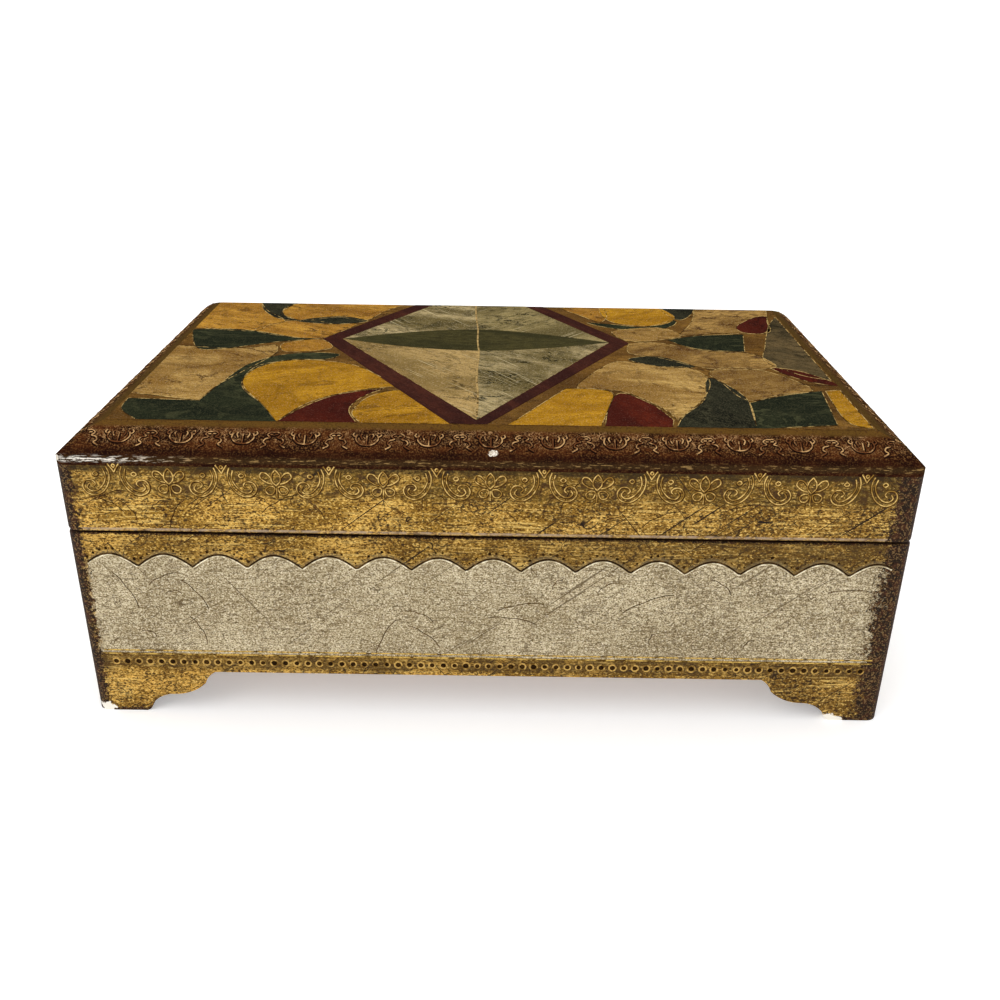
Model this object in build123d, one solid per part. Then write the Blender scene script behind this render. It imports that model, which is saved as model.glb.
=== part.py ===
"""Gilded wooden musical jewelry box on bracket feet, with a wind-up cylinder movement inside.

Millimetres, +Z up. The front faces -Y. The origin lies on the table, under the middle of the box.
The four boards of the carcass and the four rims of the lid meet in mitres. The lid turns on two butt
hinges let into the rear edge, and stops where the bevelled rear edges meet. The rear left bay holds
the movement, which is wound by a key under the floor and stopped by a wire that the closed lid
holds down.
"""

import os
from math import cos, pi, radians, sin, tan

from build123d import *

SIDES = ("front", "back", "left", "right")

# Outer box
box_width = 203.0
box_depth = 129.0
carcass_height = 51.6
lid_gap = 0.5
box_height = 77.2
wall = 8.0
corner_radius = 3.0
edge_round = 0.6

# Bracket feet: distances along the board from its corner, and heights above the table
toe_width = 12.9
toe_end, toe_rise = 14.6, 2.1
cove_end, cove_rise = 20.2, 5.2
lobe_end, lobe_rise = 28.9, 8.6
foot_width, apron_height = 31.8, 12.2
toe_bulge, cove_bulge, lobe_bulge, step_bulge = 0.45, -0.75, 1.0, -0.45
cut_below = 1.0

# Lid
top_board_edge = 1.5
shoulder_inset = 9.4
shoulder_rise = 6.1
shoulder_bulge = 0.8
print_margin = 0.5
print_thickness = 0.3

# Floor, partitions and linings
well_depth = 32.6
floor_thickness = 4.0
groove_depth = 3.0
movement_bay_width = 60.0
movement_bay_depth = 54.0
partition_thickness = 3.0
partition_drop = 4.6
lining_thickness = 1.5
lining_drop = 1.0
lid_lining_thickness = 2.0
pad_thickness = 1.8
pad_crown = 0.8
pad_edge_round = 0.7
pad_clearance = 0.3
cover_thickness = 1.5
cover_clearance = 0.3
ledge_size = 3.0

# Hinges
hinge_width = 26.0
hinge_from_end = 43.5
hinge_inset = 2.2
leaf_depth = 5.2
leaf_thickness = 0.8
knuckle_radius = 1.6
knuckle_count = 5
knuckle_gap = 0.15
knuckle_clearance = 0.3
hinge_pin_radius = 0.75
rear_bevel = 50.0
running_clearance = 0.05
hinge_screw_length = 5.0
hinge_screw_radius = 0.7
hinge_screw_head = 1.4
hinge_screw_spread = 7.8
screw_clearance = 0.05
screw_crown_share = 0.75
screw_slot_share = 0.28
screw_slot_depth_share = 0.35

# Small rounds: bars, holes and screws with a radius below small_radius have flat sides
small_radius = 4.0
thin_radius = 2.0
thin_sides = 12

# Movement: bedplate, barrel and winding
bed_side_gap = 2.0
bed_rear_gap = 4.0
bed_thickness = 2.0
bed_corner = 3.0
bed_left, bed_right = 42.0, 14.2
bed_front, bed_rear = 25.5, 21.5
bed_screw_radius = 1.2
bed_screw_head = 2.6
bed_screw_head_height = 1.6
bed_screw_inset = 4.5
crown_module = 0.6
crown_teeth = 40
drum_pinion_teeth = 10
drum_pinion_width = 1.4
barrel_height = 8.4
barrel_lift = 0.8
barrel_floor = 1.0
barrel_rim_inner = 11.1
barrel_radius = 12.9
barrel_cap_thickness = 0.9
barrel_cap_drop = 0.6
crown_tooth_foot, crown_tooth_tip = 0.54, 0.24
arbor_radius = 1.75
arbor_collar = 3.5
arbor_core = 3.2
spring_clearance = 0.2
spring_turns = 5
spring_strip = 0.35
spring_pitch = 1.3
spring_steps = 20
key_span = 22.0
key_shank = 2.8
key_eye_share = 0.42
key_waist_share = 0.5
key_thickness = 1.3
key_hub_radius = 2.7
key_floor_gap = 2.0
key_hub_drop = 2.0
key_top_gap = 1.2
key_end_wall = 3.8
floor_hole_radius = 3.0

# Movement: drum, comb and train
drum_radius = 6.5
drum_length = 16.0
drum_arbor_radius = 0.9
post_gap = 0.6
post_to_barrel = 2.5
pin_length = 0.5
pin_width = 0.34
pin_rows = 18
pins_per_row = 3
row_pitch = 0.86
golden_angle = 137.5
row_shift = 7.0
post_thickness = 1.5
post_width = 5.0
post_foot = 5.0
post_foot_thickness = 1.0
post_screw_radius, post_screw_head, post_screw_head_height = 0.9, 1.6, 1.0
post_screw_length = 2.6
train_module = 0.45
drum_gear_teeth = 36
drum_gear_gap = 0.9
train_pinion_teeth = 9
train_pinion_width = 1.6
gear_width = 1.0
tooth_share = 0.40
comb_gap = 0.12
comb_thickness = 1.0
comb_length = 17.5
comb_slot = 0.3
comb_short_tooth, comb_long_tooth = 7.0, 11.3
comb_heel_depth = 5.6
comb_screw_radius, comb_screw_head, comb_screw_head_height = 1.0, 1.8, 0.9
comb_screw_length = 5.0
comb_screw_spread = 4.4
train_angle = -25.0
worm_module = 0.5
worm_wheel_teeth = 16
worm_wheel_width = 0.6
worm_wheel_addendum = 0.6
worm_wheel_drop = 3.2
wheel_hub_radius, wheel_hub_width = 1.2, 1.4
worm_pitch_radius = 1.2
worm_outer_radius, worm_core_radius = 1.62, 0.65
worm_length = 4.8
worm_steps = 12
train_arbor_radius = 0.6
fly_radius = 3.7
fly_hub_radius = 1.0
fly_lift = 2.3
fly_blade_height = 4.6
fly_blade_thickness = 0.35
fly_arbor_radius = 0.6
brake_lift = 0.6
brake_radius = 2.6
brake_thickness = 0.5
frame_thickness = 1.0
frame_cheek_width = 3.0
frame_cheek_gap = 1.5
frame_arm_lift = 2.0
frame_arm_width = 2.4
frame_upright_gap = 0.9

# Stop wire
stop_wire_radius = 0.4
stop_rod_radius = 0.5
stop_finger_radius = 0.3
stop_hub_radius = 1.9
stop_hub_width = 1.0
stop_hub_clearance = 0.1
stop_pivot_from_partition = 9.5
stop_rod_from_back = 7.5
stop_wall_gap = 0.35
stop_finger_overlap = 0.6
stop_screw_radius = 0.9
stop_screw_head, stop_screw_head_height = 2.2, 0.9
stop_screw_in_wood = 4.4
stop_screw_gap = 0.1
stop_touch_gap = 0.12
stop_under_lid = 0.3
cover_notch = 1.6

half_width = box_width / 2
half_depth = box_depth / 2
lid_height = box_height - print_thickness
rim_height = lid_height - shoulder_rise
floor_level = carcass_height - well_depth
partition_top = carcass_height - partition_drop
hinge_offset = half_width - hinge_from_end
inner_half_width = half_width - wall
inner_half_depth = half_depth - wall
lid_bottom = carcass_height + lid_gap
lid_ceiling = rim_height - top_board_edge
hinge_y = half_depth - hinge_inset
hinge_z = carcass_height + lid_gap / 2
partition_right = -inner_half_width + movement_bay_width + partition_thickness
partition_left = partition_right - partition_thickness
cross_rear = inner_half_depth - movement_bay_depth
cross_front = cross_rear - partition_thickness
cover_bottom = partition_top - cover_thickness

barrel_x = -inner_half_width + bed_side_gap + bed_left
drum_y = inner_half_depth - bed_rear_gap - bed_rear
bed_top = floor_level + bed_thickness
barrel_base = bed_top + barrel_lift
crown_radius = crown_module * crown_teeth / 2
crown_pitch = 2 * pi * crown_module / 2
drum_pinion_radius = crown_module * drum_pinion_teeth / 2
crown_root = barrel_base + barrel_height
crown_height = 2.0 * crown_module
drum_z = crown_root + 1.2 * crown_module + drum_pinion_radius
drum_pinion_x = barrel_x - crown_radius
right_post_x = barrel_x - barrel_radius - post_to_barrel - post_thickness
drum_right = right_post_x - post_gap
drum_left = drum_right - drum_length
drum_gear_x = drum_left - drum_gear_gap - gear_width / 2
left_post_x = drum_gear_x - gear_width / 2 - post_gap - post_thickness
pin_tip_radius = drum_radius + pin_length
drum_gear_radius = train_module * drum_gear_teeth / 2
train_pinion_radius = train_module * train_pinion_teeth / 2
train_distance = drum_gear_radius + train_pinion_radius
train_y = drum_y + train_distance * cos(radians(train_angle))
train_z = drum_z + train_distance * sin(radians(train_angle))
worm_wheel_radius = worm_module * worm_wheel_teeth / 2
worm_lead = pi * worm_module
worm_wheel_x = drum_gear_x - worm_wheel_drop
fly_x = worm_wheel_x
fly_y = train_y + worm_wheel_radius + worm_pitch_radius
worm_bottom = train_z - worm_length / 2
blade_bottom = worm_bottom + worm_length + fly_lift
brake_bottom = blade_bottom + fly_blade_height + brake_lift
brake_top = brake_bottom + brake_thickness
frame_arm_bottom = brake_top + frame_arm_lift
frame_arm_top = frame_arm_bottom + frame_thickness
frame_right = drum_gear_x + train_pinion_width / 2 + frame_cheek_gap + frame_thickness
frame_left = worm_wheel_x - wheel_hub_width / 2 - frame_cheek_gap - frame_thickness
frame_front = train_y - frame_cheek_width / 2
upright_y = fly_y + fly_radius + frame_upright_gap
frame_rear = upright_y + frame_thickness
stop_wire_z = brake_top + stop_touch_gap + stop_finger_radius
stop_wire_x = -inner_half_width + stop_wall_gap + stop_wire_radius
stop_screw_head_x = stop_wire_x + stop_hub_width / 2 + stop_screw_gap
stop_pivot_y = cross_rear + stop_pivot_from_partition
stop_rod_y = inner_half_depth - stop_rod_from_back
stop_rod_top = lid_bottom + lining_drop - stop_under_lid
comb_tip_y = drum_y - pin_tip_radius - comb_gap
comb_rear_y = comb_tip_y - comb_length
comb_middle_x = (drum_left + drum_right) / 2
comb_width = pin_rows * row_pitch
key_top = floor_level - floor_thickness - key_top_gap
key_height = key_top - key_shank - key_floor_gap
key_hub_bottom = key_floor_gap + key_hub_drop
arbor_bottom = key_hub_bottom + key_end_wall


def block(x0, x1, y0, y1, z0, z1):
    """Box between two corners."""
    return Pos((x0 + x1) / 2, (y0 + y1) / 2, (z0 + z1) / 2) * Box(x1 - x0, y1 - y0, z1 - z0)


def sides_of(radius):
    """Sides of the prism that a thin bar or a small hole is made as."""
    return thin_sides if radius < thin_radius else 2 * thin_sides


def round_section(radius, hole=False):
    """Circle, or where it is small a polygon with few faces: inside the circle, or round it for a hole."""
    if radius >= small_radius:
        return Circle(radius)
    return RegularPolygon(radius, sides_of(radius), major_radius=not hole)


def post(radius, x, y, z0, z1, hole=False):
    """Upright round bar, or the void of a hole that clears one."""
    return Pos(x, y, z0) * extrude(round_section(radius, hole), z1 - z0)


def bar(radius, x0, x1, y, z, hole=False):
    """Round bar along X, or the void of a hole that clears one."""
    return Pos(x0, y, z) * Rot(0, 90, 0) * extrude(round_section(radius, hole), x1 - x0)


def taper(low_radius, high_radius, z0, z1, hole=False):
    """Upright cone with few faces between two heights, or the void that clears one."""
    sides = sides_of(max(low_radius, high_radius))
    ends = [(low_radius, z0), (high_radius, z1)]
    layers = [Pos(0, 0, z) * RegularPolygon(radius, sides, major_radius=not hole) for radius, z in ends]
    return loft(layers, ruled=True)


def bowed(start, end, bulge, outward):
    """Arc from start to end whose middle stands off the chord by bulge, towards outward."""
    along = (Vector(*end) - Vector(*start)).normalized()
    side = Vector(-along.Y, along.X)
    if side.dot(Vector(*outward)) < 0:
        side = side * -1
    middle = (Vector(*start) + Vector(*end)) * 0.5 + side * bulge
    return ThreePointArc(start, (middle.X, middle.Y), end)


def bracket_void(half_length):
    """Space under one side of the carcass, between its two bracket feet, in side-and-height axes."""
    steps = [
        (toe_width, 0),
        (toe_end, toe_rise),
        (cove_end, cove_rise),
        (lobe_end, lobe_rise),
        (foot_width, apron_height),
    ]
    bulges = [toe_bulge, cove_bulge, lobe_bulge, step_bulge]
    edges = []
    for hand in (1, -1):
        points = [(hand * (half_length - along), height) for along, height in steps]
        for start, end, bulge in zip(points, points[1:], bulges):
            edges.append(bowed(start, end, bulge, (-hand, -1)))
        edges.append(Line((points[0][0], -cut_below), points[0]))
    apron = half_length - foot_width
    toe = half_length - toe_width
    edges.append(Line((apron, apron_height), (-apron, apron_height)))
    edges.append(Line((-toe, -cut_below), (toe, -cut_below)))
    return make_face(edges)


def mitre_zone(side, height):
    """Prism that holds one board of a mitred frame: front, back, left or right."""
    over = 2.0
    inner = wall + 2.0
    outer_x, outer_y = half_width + over, half_depth + over
    inner_x, inner_y = half_width - inner, half_depth - inner
    corners = {
        "front": [(-outer_x, -outer_y), (outer_x, -outer_y), (inner_x, -inner_y), (-inner_x, -inner_y)],
        "back": [(-outer_x, outer_y), (-inner_x, inner_y), (inner_x, inner_y), (outer_x, outer_y)],
        "left": [(-outer_x, -outer_y), (-inner_x, -inner_y), (-inner_x, inner_y), (-outer_x, outer_y)],
        "right": [(outer_x, -outer_y), (outer_x, outer_y), (inner_x, inner_y), (inner_x, -inner_y)],
    }
    outline = make_face(Polyline(*corners[side], close=True))
    return Pos(0, 0, -cut_below) * extrude(outline, height + 2 * cut_below)


def rear_wedge(direction):
    """Bevel cut along the rear edge, below (-1) or above (+1) the hinge axis."""
    reach = hinge_inset + 2.0
    drop = direction * reach * tan(radians(rear_bevel))
    outline = Polyline(
        (hinge_y, hinge_z), (hinge_y + reach, hinge_z), (hinge_y + reach, hinge_z + drop), close=True
    )
    return extrude(Plane.YZ * make_face(outline), box_width, both=True)


def hinge_pockets(direction):
    """Leaf mortises and knuckle coves, below (-1) or above (+1) the hinge axis."""
    face_z = hinge_z + direction * lid_gap / 2
    deep_z = face_z + direction * leaf_thickness
    cuts = []
    for side in (-1, 1):
        x0 = side * hinge_offset - hinge_width / 2
        x1 = x0 + hinge_width
        cuts.append(block(x0, x1, hinge_y - leaf_depth, hinge_y, min(face_z, deep_z), max(face_z, deep_z)))
        cuts.append(bar(knuckle_radius + knuckle_clearance, x0, x1, hinge_y, hinge_z, hole=True))
        for x in hinge_screw_places(side):
            far_z = face_z + direction * (hinge_screw_length + 0.4)
            cuts.append(
                post(
                    hinge_screw_radius + screw_clearance,
                    x,
                    hinge_screw_y(),
                    min(face_z, far_z),
                    max(face_z, far_z),
                    hole=True,
                )
            )
    return cuts


def hinge_screw_places(side):
    """X of the screws of one leaf."""
    middle = side * hinge_offset
    return [middle - hinge_screw_spread, middle + hinge_screw_spread]


def hinge_screw_y():
    """Y of the screws, in the middle of the flat part of a leaf."""
    return hinge_y - (leaf_depth + knuckle_radius) / 2


def mitred_frame(z0, z1, rounded_at):
    """Solid ring of the four walls, with its outer edge at height rounded_at eased."""
    outer = Pos(0, 0, z0) * extrude(RectangleRounded(box_width, box_depth, corner_radius), z1 - z0)
    eased = outer.edges().filter_by_position(Axis.Z, rounded_at, rounded_at)
    outer = fillet(eased, edge_round)
    return outer - block(
        -inner_half_width, inner_half_width, -inner_half_depth, inner_half_depth, z0 - 1, z1 + 1
    )


def carcass_boards():
    """Front, back, left and right boards with their bracket feet."""
    ring = mitred_frame(0, carcass_height, carcass_height)
    ring -= extrude(Plane.XZ * bracket_void(half_width), box_depth, both=True)
    ring -= extrude(Plane.YZ * bracket_void(half_depth), box_width, both=True)
    ring -= block(
        -inner_half_width - groove_depth,
        inner_half_width + groove_depth,
        -inner_half_depth - groove_depth,
        inner_half_depth + groove_depth,
        floor_level - floor_thickness,
        floor_level,
    )
    ring -= rear_wedge(-1)
    for cut in hinge_pockets(-1):
        ring -= cut
    ring -= bar(
        stop_screw_radius + screw_clearance,
        -inner_half_width - 4.4,
        -inner_half_width + 1,
        stop_pivot_y,
        stop_wire_z,
        hole=True,
    )
    return {f"{side}_board": ring & mitre_zone(side, carcass_height) for side in SIDES}


def lid_rims():
    """Front, back, left and right rims of the lid."""
    ring = mitred_frame(lid_bottom, lid_ceiling, lid_bottom)
    ring -= rear_wedge(1)
    for cut in hinge_pockets(1):
        ring -= cut
    return {f"lid_{side}_rim": ring & mitre_zone(side, lid_ceiling) for side in SIDES}


def shoulder_profile(half_length):
    """Section of the lid board: upright edge, bulged shoulder and flat top."""
    flat = half_length - shoulder_inset
    edges = [
        Line((-half_length, lid_ceiling), (half_length, lid_ceiling)),
        Line((half_length, lid_ceiling), (half_length, rim_height)),
        bowed((half_length, rim_height), (flat, lid_height), shoulder_bulge, (1, 1)),
        Line((flat, lid_height), (-flat, lid_height)),
        bowed((-flat, lid_height), (-half_length, rim_height), shoulder_bulge, (-1, 1)),
        Line((-half_length, rim_height), (-half_length, lid_ceiling)),
    ]
    return make_face(edges)


def lid_top_board():
    """Board that closes the lid, with its shoulder mitred at the four hips."""
    along = extrude(Plane.XZ * shoulder_profile(half_width), half_depth, both=True)
    across = extrude(Plane.YZ * shoulder_profile(half_depth), half_width, both=True)
    board = along & across
    return fillet(board.edges().filter_by(Axis.Z), corner_radius)


def inlay_print():
    """Printed sheet of stone inlay, glued on the flat of the lid."""
    width = box_width - 2 * (shoulder_inset + print_margin)
    depth = box_depth - 2 * (shoulder_inset + print_margin)
    return Pos(0, 0, lid_height) * extrude(Rectangle(width, depth), print_thickness)


def pad(x0, x1, y0, y1, z, direction):
    """Velvet pad on a card: flat back at z, crowned face towards direction."""
    width, depth = x1 - x0, y1 - y0
    rise = pad_thickness + pad_crown
    rows = []
    for half_length, across in ((width / 2, depth), (depth / 2, width)):
        edges = [
            Line((-half_length, 0), (half_length, 0)),
            Line((half_length, 0), (half_length, pad_thickness - pad_edge_round)),
            ThreePointArc(
                (half_length, pad_thickness - pad_edge_round),
                (0, rise),
                (-half_length, pad_thickness - pad_edge_round),
            ),
            Line((-half_length, pad_thickness - pad_edge_round), (-half_length, 0)),
        ]
        rows.append((make_face(edges), across))
    body = extrude(Plane.XZ * rows[0][0], depth, both=True) & extrude(Plane.YZ * rows[1][0], width, both=True)
    if direction < 0:
        body = Rot(180, 0, 0) * body
    return Pos((x0 + x1) / 2, (y0 + y1) / 2, z) * body


def lining(x0, x1, y0, y1, z0, tops, thickness):
    """Four fabric-covered cards round a well. tops gives the top of the front, back, left and right card."""
    front, back, left, right = tops
    cards = [
        block(x0, x1, y0, y0 + thickness, z0, front),
        block(x0, x1, y1 - thickness, y1, z0, back),
        block(x0, x0 + thickness, y0 + thickness, y1 - thickness, z0, left),
        block(x1 - thickness, x1, y0 + thickness, y1 - thickness, z0, right),
    ]
    return Compound(children=cards)


def screw(radius, head_radius, head_height, length, countersunk):
    """Slotted screw pointing down, with the top of its head at the origin."""
    if countersunk:
        head = taper(radius, head_radius, -head_height, 0)
    else:
        rim = head_height / 2
        head = post(head_radius, 0, 0, -head_height, -rim)
        head += taper(head_radius, screw_crown_share * head_radius, -rim, 0)
    body = head + post(radius, 0, 0, -length, -head_height)
    slot_width, slot_depth = screw_slot_share * head_radius, screw_slot_depth_share * head_height
    return body - Box(3 * head_radius, slot_width, 2 * slot_depth)


def hinge_leaf(side, direction):
    """One leaf of a butt hinge: lower (-1) or upper (+1)."""
    x0 = side * hinge_offset - hinge_width / 2
    face_z = hinge_z + direction * lid_gap / 2
    deep_z = face_z + direction * leaf_thickness
    leaf = block(
        x0, x0 + hinge_width, hinge_y - leaf_depth, hinge_y, min(face_z, deep_z), max(face_z, deep_z)
    )
    step = hinge_width / knuckle_count
    clear = knuckle_radius + knuckle_clearance
    for index in range(knuckle_count):
        start = x0 + index * step
        own = (index % 2 == 0) == (direction < 0)
        if own:
            left = start if index == 0 else start + knuckle_gap / 2
            right = start + step if index == knuckle_count - 1 else start + step - knuckle_gap / 2
            leaf += bar(knuckle_radius, left, right, hinge_y, hinge_z)
        else:
            leaf -= block(
                start - knuckle_gap / 2,
                start + step + knuckle_gap / 2,
                hinge_y - clear,
                hinge_y + clear,
                hinge_z - clear,
                hinge_z + clear,
            )
    bore = hinge_pin_radius + running_clearance
    leaf -= bar(bore, x0 - 1, x0 + hinge_width + 1, hinge_y, hinge_z, hole=True)
    for x in hinge_screw_places(side):
        sink = Pos(x, hinge_screw_y(), face_z) * hinge_screw_hole()
        if direction > 0:
            sink = Pos(x, hinge_screw_y(), face_z) * Rot(180, 0, 0) * hinge_screw_hole()
        leaf -= sink
    return leaf


def hinge_screw_hole():
    """Countersunk hole that clears a hinge screw, pointing down."""
    bore = hinge_screw_radius + screw_clearance
    cone = taper(bore, hinge_screw_head + screw_clearance, -leaf_thickness, 0, hole=True)
    return cone + post(bore, 0, 0, -2 * leaf_thickness, 0, hole=True)


def hinge_screws(direction):
    """All the screws of the lower (-1) or upper (+1) leaves."""
    face_z = hinge_z + direction * lid_gap / 2
    one = screw(hinge_screw_radius, hinge_screw_head, leaf_thickness, hinge_screw_length, True)
    if direction > 0:
        one = Rot(180, 0, 0) * one
    places = [x for side in (-1, 1) for x in hinge_screw_places(side)]
    return Compound(children=[Pos(x, hinge_screw_y(), face_z) * one for x in places])


def hinge_pin(side):
    """Plain pin through all the knuckles of one hinge."""
    x0 = side * hinge_offset - hinge_width / 2
    return bar(hinge_pin_radius, x0, x0 + hinge_width, hinge_y, hinge_z)


def gear_outline(module, teeth, phase, addendum=0.95):
    """Outline of a spur gear in its own plane, with a tooth centred at angle phase, in degrees."""
    pitch_radius = module * teeth / 2
    tip, root = pitch_radius + addendum * module, pitch_radius - 1.15 * module
    pitch_angle = 360 / teeth
    flank = [(root, 0.72), (pitch_radius, 0.5), (tip, 0.20)]
    flank += [(radius, -half_share) for radius, half_share in reversed(flank)]
    points = []
    for index in range(teeth):
        middle = phase + index * pitch_angle
        for radius, half_share in flank:
            angle = radians(middle - half_share * tooth_share * pitch_angle)
            points.append((radius * cos(angle), radius * sin(angle)))
    return make_face(Polyline(*points, close=True))


def spur_gear(outline, width, x, y, z, bore):
    """Gear on an axis along X: its middle plane is at x."""
    blank = extrude(outline, width / 2, both=True) - extrude(round_section(bore), width, both=True)
    return Pos(x, y, z) * (Plane.YZ.location * blank)


def bed_screw_places():
    """The three screws that hold the bed on the floor."""
    rear, front = drum_y + bed_rear - bed_screw_inset, drum_y - bed_front + bed_screw_inset
    right, left = barrel_x + bed_right - bed_screw_inset, barrel_x - bed_left + bed_screw_inset
    return [(right, rear), (right, front), (left, front)]


def bedplate():
    """Flat bed of the movement."""
    width, depth = bed_left + bed_right, bed_front + bed_rear
    middle_x = barrel_x + (bed_right - bed_left) / 2
    middle_y = drum_y + (bed_rear - bed_front) / 2
    outline = RectangleRounded(width, depth, bed_corner)
    plate = Pos(middle_x, middle_y, floor_level) * extrude(outline, bed_thickness)
    holes = [(barrel_x, drum_y, arbor_radius + running_clearance)]
    holes += [(x, y, bed_screw_radius + screw_clearance) for x, y in bed_screw_places()]
    holes += [
        (x, y, post_screw_radius + screw_clearance) for x, y in post_screw_places() + governor_screw_places()
    ]
    for x, y, radius in holes:
        plate -= post(radius, x, y, floor_level - 1, bed_top + 1, hole=True)
    return plate


def bed_screws():
    """Pan-head screws driven up through the floor into the bed."""
    under = floor_level - floor_thickness - bed_screw_head_height
    length = bed_top - under - screw_clearance
    one = Rot(180, 0, 0) * screw(bed_screw_radius, bed_screw_head, bed_screw_head_height, length, False)
    return Compound(children=[Pos(x, y, under) * one for x, y in bed_screw_places()])


def bottom_board():
    """Floor of the box, held in the grooves of the four boards."""
    floor = block(
        -inner_half_width - groove_depth,
        inner_half_width + groove_depth,
        -inner_half_depth - groove_depth,
        inner_half_depth + groove_depth,
        floor_level - floor_thickness,
        floor_level,
    )
    floor -= post(floor_hole_radius, barrel_x, drum_y, 0, carcass_height, hole=True)
    for x, y in bed_screw_places():
        floor -= post(bed_screw_radius + screw_clearance, x, y, 0, carcass_height, hole=True)
    return floor


def movement_cover():
    """Clear pane over the movement, notched for the stop wire."""
    pane = block(
        -inner_half_width + cover_clearance,
        partition_left - cover_clearance,
        cross_rear + cover_clearance,
        inner_half_depth - cover_clearance,
        cover_bottom,
        partition_top,
    )
    return pane - block(
        -inner_half_width - 1,
        stop_wire_x + cover_notch,
        stop_rod_y - cover_notch,
        stop_rod_y + cover_notch,
        cover_bottom - 1,
        partition_top + 1,
    )


def cover_ledges():
    """Strips that the pane rests on, at the front and the back of the bay."""
    x0, x1 = -inner_half_width + ledge_size, partition_left
    z0 = cover_bottom - ledge_size
    front = block(x0, x1, cross_rear, cross_rear + ledge_size, z0, cover_bottom)
    back = block(x0, x1, inner_half_depth - ledge_size, inner_half_depth, z0, cover_bottom)
    return Compound(children=[front, back])


def spring_barrel():
    """Cup that holds the mainspring. The crown teeth on its rim drive the drum."""
    cup = post(barrel_radius, barrel_x, drum_y, barrel_base, crown_root)
    cup -= post(barrel_rim_inner, barrel_x, drum_y, barrel_base + barrel_floor, crown_root + 1)
    cup -= post(arbor_radius + running_clearance, barrel_x, drum_y, barrel_base - 1, crown_root, hole=True)
    foot, tip = crown_tooth_foot * crown_pitch, crown_tooth_tip * crown_pitch
    section = make_face(
        Polyline(
            (-foot / 2, -0.2),
            (foot / 2, -0.2),
            (foot / 2, 0),
            (tip / 2, crown_height),
            (-tip / 2, crown_height),
            (-foot / 2, 0),
            close=True,
        )
    )
    margin = 0.1
    length = barrel_radius - barrel_rim_inner - 2 * margin
    tooth = Pos(barrel_rim_inner + margin, 0, crown_root) * extrude(Plane.YZ * section, length)
    centre = Pos(barrel_x, drum_y, 0)
    return cup + [centre * Rot(0, 0, 360 * i / crown_teeth) * tooth for i in range(crown_teeth)]


def barrel_cap():
    """Lid of the spring barrel, seated inside its rim."""
    top = crown_root - barrel_cap_drop
    cap = post(barrel_rim_inner, barrel_x, drum_y, top - barrel_cap_thickness, top)
    return cap - post(arbor_radius + running_clearance, barrel_x, drum_y, top - 3, top + 1, hole=True)


def spiral_points(start):
    """Points of the mainspring's flat spiral, from radius start outwards."""
    points = []
    for index in range(spring_turns * spring_steps + 1):
        turn = index / spring_steps
        radius, angle = start + spring_pitch * turn, 2 * pi * turn
        points.append((radius * cos(angle), radius * sin(angle)))
    return points


def mainspring():
    """Wound strip between the arbor and the wall of the barrel."""
    z0 = barrel_base + barrel_floor
    z1 = crown_root - barrel_cap_drop - barrel_cap_thickness - spring_clearance
    inner = spiral_points(arbor_core + spring_clearance)
    outer = spiral_points(arbor_core + spring_clearance + spring_strip)
    strip = make_face(Polyline(*inner, *reversed(outer), close=True))
    return Pos(barrel_x, drum_y, z0) * extrude(strip, z1 - z0)


def winding_arbor():
    """Arbor from the key up through the bed, with a collar on the bed and a core inside the spring."""
    shaft = post(arbor_radius, barrel_x, drum_y, arbor_bottom, crown_root - barrel_cap_drop)
    collar_bottom, collar_top = bed_top + running_clearance, barrel_base - running_clearance
    collar = post(arbor_collar, barrel_x, drum_y, collar_bottom, collar_top)
    core_bottom = barrel_base + barrel_floor + spring_clearance
    core_top = crown_root - barrel_cap_drop - barrel_cap_thickness - spring_clearance
    return shaft + collar + post(arbor_core, barrel_x, drum_y, core_bottom, core_top)


def winding_key():
    """Butterfly key under the floor, pushed on the arbor."""
    lobe = key_height / 2
    lobe_x = key_span / 2 - lobe
    outline = Rectangle(2 * lobe_x, key_waist_share * key_height)
    for side in (-1, 1):
        outline += Pos(side * lobe_x, 0) * Circle(lobe)
    for side in (-1, 1):
        outline -= Pos(side * lobe_x, 0) * round_section(key_eye_share * lobe)
    wings = extrude(Plane.XZ * outline, key_thickness / 2, both=True)
    key = Pos(barrel_x, drum_y, key_floor_gap + lobe) * wings
    key += post(key_hub_radius, barrel_x, drum_y, key_hub_bottom, key_top)
    return key - post(arbor_radius, barrel_x, drum_y, arbor_bottom, key_top + 1)


def cylinder_drum():
    """Drum whose pins pluck the comb, one ring of pins for each tooth."""
    drum = bar(drum_radius, drum_left, drum_right, drum_y, drum_z)
    drum -= bar(drum_arbor_radius, drum_left - 1, drum_right + 1, drum_y, drum_z)
    root = 0.2
    pin = Pos(0, 0, drum_radius + (pin_length - root) / 2) * Box(pin_width, pin_width, pin_length + root)
    pins = []
    for row in range(pin_rows):
        x = comb_middle_x + (row - (pin_rows - 1) / 2) * row_pitch
        for count in range(pins_per_row):
            angle = row * golden_angle + row * row * row_shift + count * 360 / pins_per_row
            pins.append(Pos(x, drum_y, drum_z) * Rot(angle, 0, 0) * pin)
    return drum + pins


def cylinder_arbor():
    """Arbor of the drum, through both bearing posts to the driving pinion."""
    return bar(drum_arbor_radius, left_post_x, drum_pinion_x + drum_pinion_width / 2, drum_y, drum_z)


def cylinder_pinion():
    """Pinion driven by the crown teeth of the barrel."""
    outline = gear_outline(crown_module, drum_pinion_teeth, -90 + 180 / drum_pinion_teeth)
    return spur_gear(outline, drum_pinion_width, drum_pinion_x, drum_y, drum_z, drum_arbor_radius)


def cylinder_gear():
    """Gear that drives the governor."""
    outline = gear_outline(train_module, drum_gear_teeth, train_angle)
    return spur_gear(outline, gear_width, drum_gear_x, drum_y, drum_z, drum_arbor_radius)


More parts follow.
